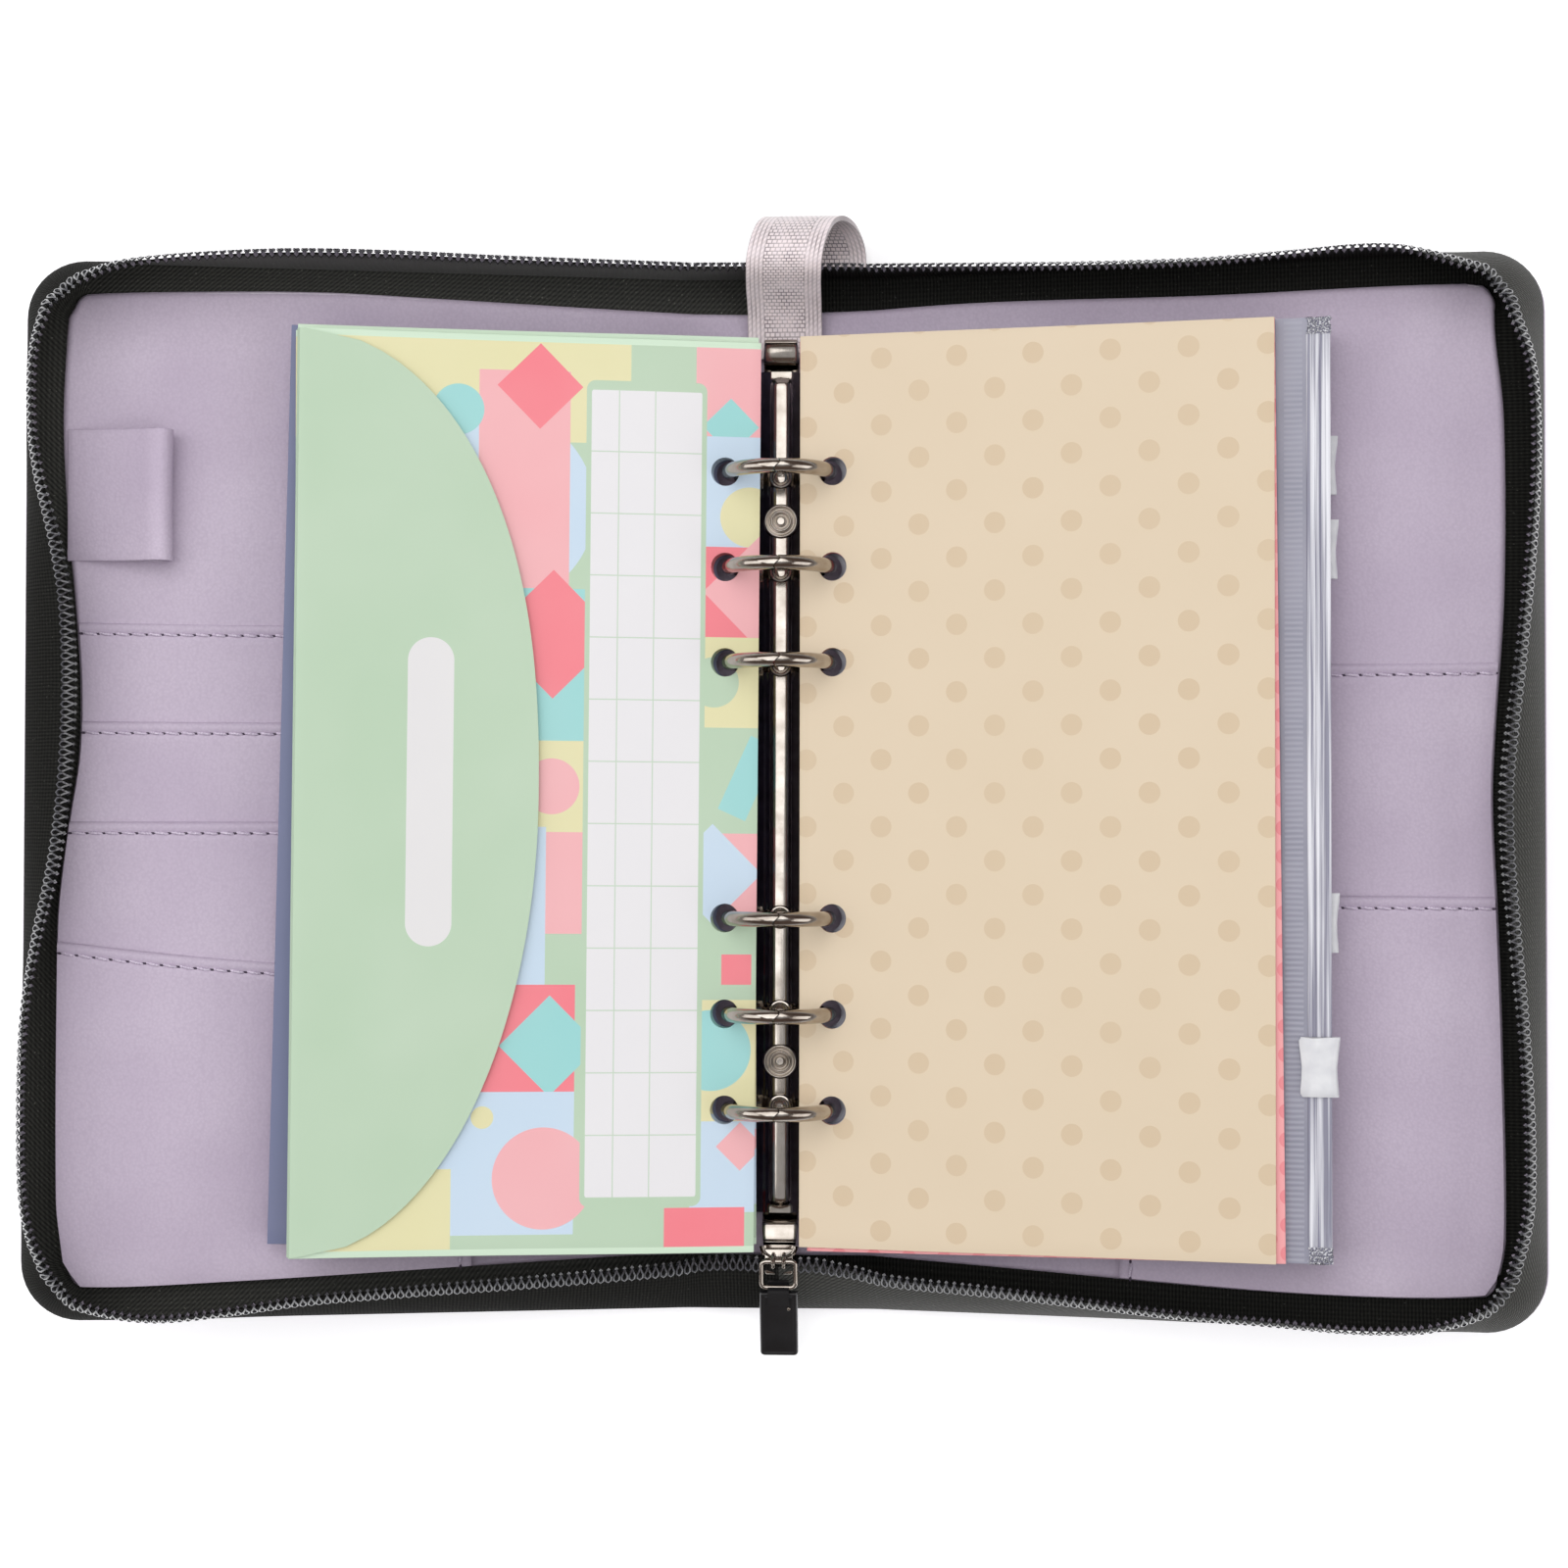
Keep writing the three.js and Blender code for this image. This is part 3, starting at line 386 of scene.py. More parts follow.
def plainPlastic(name, values):
    # moulded or drawn plastic: nearly even, with the faint unevenness of a cheap moulding
    material, tree, shader = newMaterial(name)
    cloud = noiseOf(tree, placeInMm(tree), values["cloud"], 2)
    colour = tint(tree, rangeOf(tree, cloud, 0.3, 0.7, 0, 1), values["shade"], values["light"])
    tree.links.new(colour, shader.inputs["Base Color"])
    tree.links.new(bumpOf(tree, cloud, values["depth"]), shader.inputs["Normal"])
    shader.inputs["Roughness"].default_value = values["rough"]
    shader.inputs["IOR"].default_value = values["ior"]
    shader.inputs["Coat Weight"].default_value = values.get("coat", 0)
    shader.inputs["Alpha"].default_value = values.get("alpha", 1)
    shader.inputs["Subsurface Weight"].default_value = values.get("glow", 0)
    shader.inputs["Subsurface Radius"].default_value = (0.004, 0.004, 0.004)
    return material


def nickelPlate(name, values):
    # bright nickel on pressed steel: a warm mirror with faint draw lines and dulled patches
    material, tree, shader = newMaterial(name)
    place = placeInMm(tree)
    drawn = addNode(tree, "Mapping", None, Vector=place, Scale=(1, 0.03, 1)).outputs[0]
    lines = noiseOf(tree, drawn, values["line"], 2)
    smears = noiseOf(tree, place, values["smear"], 3)
    colour = tint(tree, rangeOf(tree, smears, 0.35, 0.7, 0, 1), values["light"], values["shade"])
    tree.links.new(colour, shader.inputs["Base Color"])
    shader.inputs["Metallic"].default_value = 1
    rough = rangeOf(tree, smears, 0.3, 0.75, values["rough"], values["rough"] + 0.12)
    tree.links.new(rough, shader.inputs["Roughness"])
    tree.links.new(bumpOf(tree, lines, values["depth"]), shader.inputs["Normal"])
    return material


lilac = puLeather("embossedPuLeather", {
    "light": "#CCBED0", "shade": "#C2B3C7", "pit": "#AD9DB3", "grain": 0.55, "grainDepth": 0.035,
    "crease": 1.6, "creaseTurn": 0.5, "creaseDepth": 0.06, "slack": 26, "slackDepth": 1.2,
    "rough": 0.5, "sheen": 0.1,
})
outsideLilac = puLeather("embossedPuCover", {
    "light": "#BFB0C4", "shade": "#B3A4B9", "pit": "#9C8DA3", "grain": 0.8, "grainDepth": 0.07,
    "crease": 2.4, "creaseTurn": 0.9, "creaseDepth": 0.07, "slack": 34, "slackDepth": 1.4,
    "rough": 0.47, "sheen": 0.08,
})
# a paler lilac for the strip along the lining's edge fold: painted highlight
liningFoldHighlight = puLeather("paintedHighlightPuFold", {
    "light": "#F6EEF8", "shade": "#D9CCDD", "pit": "#C0B1C6", "grain": 0.8, "grainDepth": 0.02,
    "crease": 1.5, "creaseTurn": 0.4, "creaseDepth": 0.03, "slack": 3, "slackDepth": 0.05, "rough": 0.4, "sheen": 0.1,
})
edgePaintHighlight = plainPlastic("edgePaintWithPaintedHighlight", {  # acrylic edge paint, a glossy skin over the cut layers, coloured lighter than the tab as a painted highlight on its edge
    "light": "#4E4E50", "shade": "#3A3A3C", "cloud": 1.5, "depth": 0.03, "rough": 0.25, "ior": 1.5, "coat": 0.6,
})
blackLeather = puLeather("smoothBlackPu", {
    "light": "#1B1B1E", "shade": "#151517", "pit": "#0F0F11", "grain": 0.4, "grainDepth": 0.012,
    "crease": 1.2, "creaseTurn": 0.2, "creaseDepth": 0.01, "slack": 6, "slackDepth": 0.05,
    "rough": 0.42, "sheen": 0.0,
})
# one tape in two colours: the inner face's thread is lighter as painted light for the face in shade, the outer face's
# darker as painted shade for the lamp-lit face
tapeValues = {
    "thread": "#4B4B46", "groove": "#1C1C19", "lint": "#7E7E76", "ribPitch": 0.7, "pickPitch": 0.9,
    "twillTurn": 0.85, "waver": 1.5, "fuzz": 0.5, "depth": 0.12, "sheen": 0.15, "gloss": 0.4,
}
tapeInsidePaintedLight = zipTape("wovenZipTapeInsidePaintedLight", tapeValues, True)
tapeOutsidePaintedShade = zipTape("wovenZipTapeOutsidePaintedShade", {**tapeValues, "thread": "#2C2C29", "groove": "#0B0B0A", "lint": "#4C4C48",
                                              "sheen": 0.0, "gloss": 0.1}, False)
coilNylon = plainPlastic("drawnNylonCoil", {
    "light": "#56565C", "shade": "#2A2A2E", "cloud": 0.7, "depth": 0.02, "rough": 0.16, "ior": 1.53, "coat": 1.0,
})
milkyPlastic = plainPlastic("mouldedMilkyPolypropylene", {
    "light": "#E2E2E4", "shade": "#D2D2D6", "cloud": 3, "depth": 0.05, "rough": 0.34, "ior": 1.49, "glow": 0.35,
})
nickel = nickelPlate("brightNickelPlate", {
    "light": "#BDB6AE", "shade": "#A0978E", "line": 0.35, "smear": 4, "rough": 0.08, "depth": 0.006,
})
sewingThread = plainPlastic("spunPolyesterThread", {  # fibres catch the light unevenly along each stitch
    "light": "#E6DAEA", "shade": "#B6A6BD", "cloud": 0.35, "depth": 0.08, "rough": 0.6, "ior": 1.5,
})
needleHoleShade = plainPlastic("shadedNeedleHole", {  # a dark disc as painted shade inside the open needle hole beside its thread
    "light": "#544859", "shade": "#3F3544", "cloud": 0.3, "depth": 0.05, "rough": 0.9, "ior": 1.4,
})
ribbonWeave = wovenRibbon("metallisedWovenRibbon", {
    "warm": "#FAEAE9", "cool": "#EADFE4", "shade": "#85797C", "gap": 0.14, "pick": 1.0, "row": 0.74, "cord": 0.85,
    "width": 15, "patch": 5, "depth": 0.1,
})
filmValues = {"light": "#A9A8B7", "shade": "#9A9AAA", "ribLight": "#AFAFBD", "rib": 1.05, "band": (96.6, 1.75),
              "ribDepth": 0.05, "slack": 0.5, "rough": 0.2, "alpha": 0.72}
pouchFilm = clearFilm("clearPvcFilm", filmValues)
# the two lowest pouches lie under film that already looks milky, so theirs is seen as solid
lowFilm = clearFilm("stackedPvcFilm", {**filmValues, "alpha": 1.0})
trackFilm = drawnTrack("extrudedPvcTrack", {"light": "#F2F2F8", "shade": "#8F8EA0", "thread": 0.7, "run": 60,
                                            "crimp": 3.2, "speckle": 0.35, "length": 181, "alpha": 0.85})
greyBoard = plainPlastic("pressedGreyBoard", {  # recycled pulp: a flecked matte grey
    "light": "#B0ADA6", "shade": "#918E88", "cloud": 0.8, "depth": 0.05, "rough": 0.9, "ior": 1.45,
})


# Camera, lamps and floor

view = {"place": (0.02334, -0.00954, 0.55925), "turn": (0.0198, 0.041, 0.0016), "lens": 62.84, "sensor": 36}
bpy.ops.object.camera_add(location=view["place"])
camera = newest("photoCamera")
camera.matrix_world = (Matrix.Translation(view["place"]) @ Matrix.Rotation(view["turn"][1], 4, "Y")
                       @ Matrix.Rotation(view["turn"][0], 4, "X") @ Matrix.Rotation(view["turn"][2], 4, "Z"))
camera.data.lens = view["lens"]
camera.data.sensor_width = view["sensor"]
camera.data.clip_start = 0.01
bpy.context.scene.camera = camera

lamps = {
    "overhead": {"place": (-0.25, 0.55, 1.5), "size": 1.5, "power": 12.4},
    "leftSoft": {"place": (-1.2, 0.1, 0.9), "size": 1.0, "power": 4.5},
    "rightSoft": {"place": (1.2, -0.3, 1.0), "size": 1.0, "power": 5.2},
}
for name, lamp in lamps.items():
    deselectAll()
    bpy.ops.object.light_add(type="AREA", location=lamp["place"])
    light = newest(name)
    light.rotation_euler = (-Vector(lamp["place"])).to_track_quat("-Z", "Y").to_euler()
    light.data.shape = "SQUARE"
    light.data.size = lamp["size"]
    light.data.energy = lamp["power"]

world = bpy.context.scene.world or bpy.data.worlds.new("studio")
bpy.context.scene.world = world
world.use_nodes = True
worldTree = world.node_tree
backdrop = next(node for node in worldTree.nodes if node.type == "BACKGROUND")
backdrop.inputs["Strength"].default_value = 0.55
# gloss meets a studio: pale overhead, a darker room round it and the pale sweep below
height = addNode(worldTree, "SeparateXYZ", None, Vector=addNode(worldTree, "TexCoord").outputs["Generated"]).outputs[2]
pale = maths(worldTree, "MAXIMUM", rangeOf(worldTree, height, 0.87, 0.96, 0, 1), rangeOf(worldTree, height, 0.1, 0.32, 1, 0))
room = tint(worldTree, pale, "#86736A", "#F6F6F8")
glossy = addNode(worldTree, "LightPath").outputs["Is Glossy Ray"]
worldTree.links.new(tint(worldTree, glossy, "#F6F6F8", room), backdrop.inputs["Color"])
bpy.context.scene.view_settings.view_transform = "Standard"

floor = {"size": 3.0, "level": -0.0002, "colour": "#F2F2F2", "glow": 0.35}
deselectAll()
bpy.ops.mesh.primitive_plane_add(size=floor["size"], location=(0, 0, floor["level"]))
floorPiece = newest("studioFloor")
floorMaterial, floorTree, floorShader = newMaterial("mattePaperSweep")
floorShader.inputs["Base Color"].default_value = linear(floor["colour"])
floorShader.inputs["Roughness"].default_value = 0.95
floorShader.inputs["Specular IOR Level"].default_value = 0.1
path = addNode(floorTree, "LightPath").outputs
seen = maths(floorTree, "MAXIMUM", path["Is Camera Ray"], maths(floorTree, "MAXIMUM", path["Is Glossy Ray"],
                                                              path["Is Transmission Ray"]))
floorShader.inputs["Emission Color"].default_value = (1, 1, 1, 1)
floorTree.links.new(maths(floorTree, "MULTIPLY", seen, floor["glow"]), floorShader.inputs["Emission Strength"])
floorPiece.data.materials.append(floorMaterial)
print("camera, lamps and floor are in")


# The wallet's own frame: across from the spine's middle, along the spine, level up from the skin's underside

wallet = {"halfHeight": 105, "hingeX": 19, "hingeZ": 1.7, "coverWidth": 132, "corner": 12, "tilt": 10,
          "bendStart": 14, "bendEnd": 24}
sides = {-1: "front_cover", 1: "back_cover"}
reach = wallet["hingeX"] + wallet["coverWidth"]
halfHeight = wallet["halfHeight"]
tiltCos, tiltSin = math.cos(math.radians(wallet["tilt"])), math.sin(math.radians(wallet["tilt"]))
straightRun = reach - wallet["corner"]
cornerRun = wallet["corner"] * math.pi / 2
sideRun = 2 * (halfHeight - wallet["corner"])
wholeRun = 2 * (straightRun + cornerRun) + sideRun


def foldPoint(side, across, along, level):
    away, up = across - wallet["hingeX"], level - wallet["hingeZ"]
    share = ease((across - wallet["bendStart"]) / (wallet["bendEnd"] - wallet["bendStart"]))
    x = mixed(across, wallet["hingeX"] + away * tiltCos - up * tiltSin, share)
    z = mixed(level, wallet["hingeZ"] + away * tiltSin + up * tiltCos, share)
    return side * x, along, z


def edgePlace(run):
    # the outline's point and inward direction, from the bottom middle round to the top middle
    corner = wallet["corner"]
    middle = halfHeight - corner
    if run < straightRun:
        return (run, -halfHeight), (0, 1)
    run -= straightRun
    if run < cornerRun:
        c, s = math.cos(run / corner - math.pi / 2), math.sin(run / corner - math.pi / 2)
        return (straightRun + corner * c, -middle + corner * s), (-c, -s)
    run -= cornerRun
    if run < sideRun:
        return (reach, -middle + run), (-1, 0)
    run -= sideRun
    if run < cornerRun:
        c, s = math.cos(run / corner), math.sin(run / corner)
        return (straightRun + corner * c, middle + corner * s), (-c, -s)
    run -= cornerRun
    return (straightRun - run, halfHeight), (0, -1)


def edgePoint(side, run, inward, level):
    (across, along_), (a, b) = edgePlace(run)
    return foldPoint(side, across + a * inward, along_ + b * inward, level)


def through(marks, x):
    # a smooth curve through the marks
    if x <= marks[0][0]:
        return marks[0][1]
    for i in range(len(marks) - 1):
        (x1, y1), (x2, y2) = marks[i], marks[i + 1]
        if x <= x2:
            x0, y0 = marks[max(i - 1, 0)]
            x3, y3 = marks[min(i + 2, len(marks) - 1)]
            span = x2 - x1
            slope1 = (y2 - y0) / (x2 - x0) * span
            slope2 = (y3 - y1) / (x3 - x1) * span
            t = (x - x1) / span
            return ((2 * t ** 3 - 3 * t ** 2 + 1) * y1 + (t ** 3 - 2 * t ** 2 + t) * slope1
                    + (3 * t ** 2 - 2 * t ** 3) * y2 + (t ** 3 - t ** 2) * slope2)
    return marks[-1][1]


def bendOver(piece):
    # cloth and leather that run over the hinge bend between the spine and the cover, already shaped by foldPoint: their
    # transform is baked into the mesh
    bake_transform(piece)


# Zip tape and coil, one half for each cover, from the slider round to the strap

tape = {"hemLevel": 2.95, "wallBase": 3.75, "tuck": 2.2, "length": 15.0, "topGap": 1.1, "thickness": 0.45,
        "step": 1.7, "pitch": 1.57, "wire": 0.25, "coilStart": 4.4}
leans = {
    -1: [(0, 10.6), (6, 11.4), (14, 11.4), (22, 10.4), (48, 8.6), (75, 7.1), (95, 5.7), (112, 3.4), (122, 2.5),
         (128, 2.9), (134, 4.2), (144, 7.3), (151, 7.9), (158, 6.6), (164, 4), (171, 2.4), (180, 1.8), (198, 1.8),
         (210, 2.7), (222, 4.8), (235, 7.7), (248, 9.5), (262, 10.4), (276, 10.5), (289, 9.6), (300, 7.5),
         (311, 4.6), (320, 3.1), (331, 2.9), (337, 3.6), (343, 5.4), (351, 7.5), (357, 7.4), (363, 6.2), (368, 4.1),
         (376, 2.3), (387, 1), (403, -0.1), (422, -0.3), (445, 0.1), (501, 0.5)],
    1: [(0, 10.6), (6, 11.2), (13, 10.2), (24, 8.5), (46, 7), (67, 5.1), (82, 3.7), (98, 3), (112, 2.1), (119, 2.1),
        (127, 2.7), (134, 4.6), (141, 7.6), (151, 8.9), (158, 7.9), (167, 5.3), (174, 4.3), (187, 4.3), (205, 5.4),
        (224, 7.2), (239, 8.4), (250, 8.6), (262, 7.5), (276, 5.7), (292, 3.9), (306, 2.7), (316, 2.3), (325, 2.6),
        (333, 3.8), (341, 6.7), (348, 8.4), (355, 8.5), (362, 6.8), (370, 4.1), (378, 1.7), (386, 1.2), (399, 1.9),
        (415, 2.7), (437, 2.5), (458, 1.7), (484, 0.8), (501, 0.6)],
}
hemWidths = {
    -1: [(0, 13), (30, 11.6), (75, 9.4), (110, 7.8), (138, 7.3), (151, 9.4), (160, 8.4), (170, 7.3), (221, 7.2),
         (230, 7.6), (245, 9.4), (257, 11.2), (270, 11.5), (285, 10.6), (302, 9), (323, 7.8), (340, 8.4),
         (352, 9), (363, 7.3), (385, 6.2), (409, 5.7), (430, 6.3), (482, 8), (501, 8.4)],
    1: [(0, 12.6), (30, 10.9), (48, 9.9), (94, 7.3), (121, 6.8), (138, 7.6), (153, 10), (164, 8.5), (200, 8.9),
        (226, 9.7), (249, 10.6), (263, 10), (289, 8.3), (323, 8.3), (342, 10), (356, 8.9), (366, 7), (416, 7.2),
        (461, 6.8), (491, 7.8), (501, 8)],
}


def hemWidth(side, run):
    return min(through(hemWidths[side], run), 11.6)


def tapePoint(side, run, share):
    # share 0 is the hidden edge under the lining, 0.36 the fold at the outline and 1 the free edge
    lean, foldShare = through(leans[side], run), 0.36
    if share < foldShare:
        inward = 0.6 + (hemWidth(side, run) + tape["tuck"] - 0.6) * (1 - share / foldShare)
        return edgePoint(side, run, inward, tape["hemLevel"] + 0.7 * ease((2.4 - inward) / 2))
    up = (share - foldShare) / (1 - foldShare)
    length = tape["length"] - tape["topGap"]
    height = math.sqrt(length ** 2 - lean ** 2 * (length / tape["length"]) ** 2)
    bow = math.sin(up * math.pi) * (0.5 + 0.12 * abs(lean))
    tilt = lean * length / tape["length"] * up ** 1.15
    start, top = tape["hemLevel"] + 0.8, tape["wallBase"] + height
    return edgePoint(side, run, 0.35 + tilt - bow * 0.35, start + (top - start) * up + bow * 0.12)


def buildTape(side):
    name = "zipTape" + ("Front" if side < 0 else "Back")
    columns = int(wholeRun / tape["step"])
    width = 8 + tape["length"]
    sheet = gridSheet(name, columns, 22, lambda u, v: tapePoint(side, u * wholeRun, v), wholeRun, width)
    modify(sheet, "SOLIDIFY", thickness=tape["thickness"] * mm, offset=-side)
    smooth(sheet, 60)
    dress(sheet, [tapeOutsidePaintedShade, tapeInsidePaintedLight], replaced=(
        f"{sides[side][:-6]}_zip_tape", "spine_tape_bottom" if side < 0 else "spine_tape_top"))
    for face in sheet.data.polygons[:columns * 22]:
        face.material_index = 1  # the first shell is the inner face
    bendOver(sheet)
    return sheet


def coilPlace(side, run):
    # a frame for one coil turn: along the edge, through the tape, and up the tape
    here = Vector(tapePoint(side, run, 1.0))
    ahead = Vector(tapePoint(side, min(run + 0.5, wholeRun), 1.0))
    behind = Vector(tapePoint(side, max(run - 0.5, 0), 1.0))
    below = Vector(tapePoint(side, run, 0.9))
    forward = (ahead - behind).normalized()
    up = (here - below).normalized()
    up = (up - forward * up.dot(forward)).normalized()
    through_ = forward.cross(up)
    turn = Matrix((forward, through_, up)).transposed().to_4x4()
    return Matrix.Translation(here * mm) @ turn


def buildCoil(side):
    # one tooth: a drop-shaped loop outside the tape, a flat leg inside it, and a head past its edge
    face = side * 0.58
    loop = wireAlong("toothLoop", [(0, face * 0.3, 1.5), (0.24, face * 0.9, 0.75), (0.56, face, -0.15),
                                   (0.5, face, -1.05), (0, face, -1.55), (-0.5, face, -1.05), (-0.56, face, -0.15),
                                   (-0.24, face * 0.9, 0.75)],
                     tape["wire"], cyclic=True, sides=0, radii=[2.0, 1, 0.9, 0.95, 1.05, 0.95, 0.9, 1])
    leg = wireAlong("toothLeg", [(0, face * 0.2, 1.6), (0, -face * 0.8, 0.8), (0, -face, -0.4), (0, -face, -1.6)],
                    tape["wire"], sides=0, radii=[1.5, 1.8, 2.0, 1.4])
    turn = joinPieces("zipTooth", [loop, leg])
    smooth(turn, 80)
    # teeth keep their pitch along the free edge, which is shorter than the outline where it leans in
    places, run, gone = [coilPlace(side, tape["coilStart"])], tape["coilStart"], 0
    while run < wholeRun - 0.3:
        step = Vector(tapePoint(side, run + 0.1, 1.0)) - Vector(tapePoint(side, run, 1.0))
        run, gone = run + 0.1, gone + step.length
        if gone >= tape["pitch"]:
            places.append(coilPlace(side, run))
            gone -= tape["pitch"]
    coil = layCopies(turn, places, "zipCoil" + ("Front" if side < 0 else "Back"))
    dress(coil, [coilNylon], replaced=(f"{sides[side][:-6]}_zip_coil",))
    bendOver(coil)
    return coil


for side in sides:
    buildTape(side)
    buildCoil(side)
print("zip tape and coil are in")


# Outer cover and lining, one half for each side of the spine's middle

shell = {"columns": 46, "rows": 62, "cornerSteps": 9, "skin": 0.85, "lining": 0.5, "liningLevel": 2.9,
         "wave": 0.3, "hemRise": 0.75}


def edgeSpot(across, along_):
    # the run and the inward distance of a point, the other way round from edgePlace
    corner = wallet["corner"]
    middle = halfHeight - corner
    beyond, high = across - straightRun, abs(along_) - middle
    if beyond > 0 and high > 0:
        turn = math.atan2(high, beyond) * corner
        run = straightRun + cornerRun + (sideRun + turn if along_ > 0 else -turn)
        return run, corner - math.hypot(beyond, high)
    if reach - across < halfHeight - abs(along_):
        return straightRun + cornerRun + middle + min(max(along_, -middle), middle), reach - across
    across = min(max(across, 0), straightRun)
    return (wholeRun - across if along_ > 0 else across), halfHeight - abs(along_)


def coverShell(name, side, profileAt, base, rise, thickness):
    # a grid for the flat middle and a border that follows the outline, welded together
    columns, rows, steps = shell["columns"], shell["rows"], shell["cornerSteps"]
    middle = halfHeight - wallet["corner"]

    def flatPart(u, v):
        across, along_ = u * straightRun, (2 * v - 1) * middle
        return foldPoint(side, across, along_, base + rise(across, along_))

    runs = [straightRun * i / columns for i in range(columns)]
    runs += [straightRun + cornerRun * i / steps for i in range(steps)]
    runs += [straightRun + cornerRun + sideRun * i / rows for i in range(rows)]
    runs += [straightRun + cornerRun + sideRun + cornerRun * i / steps for i in range(steps)]
    runs += [wholeRun - straightRun + straightRun * i / columns for i in range(columns + 1)]
    border, last = len(runs) - 1, len(profileAt(0)) - 1

    def borderPart(u, v):
        run = runs[round(u * border)]
        inward, level = profileAt(run)[round(v * last)]
        (across, along_), (a, b) = edgePlace(run)
        across, along_ = across + a * inward, along_ + b * inward
        return foldPoint(side, across, along_, level + rise(across, along_))

    middlePart = gridSheet(name, columns, rows, flatPart, straightRun, 2 * middle)
    edgePart = gridSheet(name, border, last, borderPart, wholeRun, 20)
    sheet = joinPieces(name, [middlePart, edgePart])
    pick(sheet)
    bpy.ops.object.mode_set(mode="EDIT")
    bpy.ops.mesh.select_all(action="SELECT")
    bpy.ops.mesh.remove_doubles(threshold=0.00002)
    bpy.ops.object.mode_set(mode="OBJECT")
    modify(sheet, "SOLIDIFY", thickness=thickness * mm, offset=side)
    smooth(sheet, 50)
    return sheet


def buildSkin(side):
    # the outer skin turns up round the board and in under the tape
    turned = [(1.4, 2.75), (0.8, 2.72), (0.35, 2.5), (0.08, 2.1), (0, 1.6), (0, 1.1), (0.12, 0.55), (0.45, 0.15),
              (1.1, 0), (2.4, 0), (5, 0), (8.5, 0), (12, 0)]
    name = sides[side][:-6]
    skin = coverShell(name + "OuterSkin", side, lambda run: turned, 0, lambda across, along_: 0, shell["skin"])
    nodes = (sides[side] + "_skin", "spine_skin") if side < 0 else (sides[side] + "_skin",)
    dress(skin, [outsideLilac], replaced=nodes)
    bendOver(skin)


def hemRise(side, across, along_):
    # the lining and all pockets are caught in one edge that lies over the tape's hem
    run, inward = edgeSpot(across, along_)
    return shell["hemRise"] * (1 - ease((inward - hemWidth(side, run)) / 7))


def liningRise(side):
    # cloth-backed PU never lies dead flat on its board
    def rise(across, along_):
        swell = math.sin(along_ / 17 + side) * math.sin(across / 23 + 1.3) + 0.6 * math.sin(along_ / 9.5 + across / 31)
        wave = shell["wave"] * (0.5 + 0.5 * swell) * ease((across - 30) / 40)
        return wave + hemRise(side, across, along_)
    return rise


def buildLining(side):
    curl = [(0, -0.28), (0.03, -0.05), (0.09, 0.12), (0.2, 0.16), (0.36, 0.05), (0.6, 0), (0.8, 0), (1, 0)]
    name, base = sides[side][:-6], shell["liningLevel"]

    def edgeAt(run):
        hem = hemWidth(side, run)
        return [(mixed(hem, wallet["corner"], share), base + lift) for share, lift in curl]

    lining = coverShell(name + "Lining", side, edgeAt, base, liningRise(side), shell["lining"])
    nodes = (sides[side] + "_lining", "spine_lining") if side < 0 else (sides[side] + "_lining",)
    dress(lining, [lilac], replaced=nodes)
    bendOver(lining)

    # a pale strip along the lining's edge fold is a painted highlight, the light the fold catches
    bead = [(-0.16, 0.3), (-0.1, 0.52), (0.08, 0.62), (0.28, 0.58), (0.4, 0.44)]

    def beadPart(u, v):
        run = u * wholeRun
        inward, lift = bead[round(v * (len(bead) - 1))]
        (across, along_), (a, b) = edgePlace(run)
        inward += hemWidth(side, run)
        across, along_ = across + a * inward, along_ + b * inward
        return foldPoint(side, across, along_, base + lift - 0.3 + liningRise(side)(across, along_))

    fold = gridSheet(name + "LiningFold", 420, len(bead) - 1, beadPart)
    modify(fold, "SOLIDIFY", thickness=0.12 * mm, offset=side)
    smooth(fold, 60)
    dress(fold, [liningFoldHighlight])
    bendOver(fold)


for side in sides:
    buildSkin(side)
    buildLining(side)
print("outer cover and lining are in")


# Card pockets: folded top edges, a row of stitches under each fold and one down the inner edge

pocket = {"thickness": 0.35, "columns": 44, "pitch": 3.3, "stitchDepth": 1.95, "thread": 0.27, "seamInset": 2.0}
fronts = {"levels": {"card_pocket_1": 3.5, "card_pocket_2": 4.15, "card_pocket_3": 4.8, "slip_pocket": 5.45},
          "tops": {"card_pocket_1": 32.6, "card_pocket_2": 13, "card_pocket_3": -6.8, "slip_pocket": -29.7},
          "seam": 63, "dip": {"slip_pocket": 6.2}}
backs = {"levels": {"back_pocket_1": 3.5, "back_pocket_2": 4.15},
         "tops": {"back_pocket_1": 24.5, "back_pocket_2": -21}, "seam": 69, "dip": {}}
# how far the sheet stands off its own level, by distance below the folded edge
foldProfile = [(0, -0.42), (0.04, -0.1), (0.16, 0.14), (0.42, 0.3), (0.85, 0.34), (1.3, 0.2), (1.7, -0.02),
               (1.95, -0.12), (2.25, 0.0), (2.8, 0.12), (3.8, 0.1), (5.5, 0.03), (8, 0)]


def pocketTop(plan, node, across):
    # the slip pocket's edge sweeps down towards the seam
    share = (reach - 8 - across) / (reach - 8 - plan["seam"])
    return plan["tops"][node] - plan["dip"].get(node, 0) * (1 - (1 - min(max(share, 0), 1)) ** 2.1)


def outerLimit(side, along_):
    run = edgeSpot(reach - 1, along_)[0]
    middle = halfHeight - wallet["corner"]
    if abs(along_) < middle:
        return reach - hemWidth(side, run)
    rest = wallet["corner"] - hemWidth(side, straightRun + cornerRun / 2)
    return straightRun + math.sqrt(max(rest ** 2 - (abs(along_) - middle) ** 2, 0))


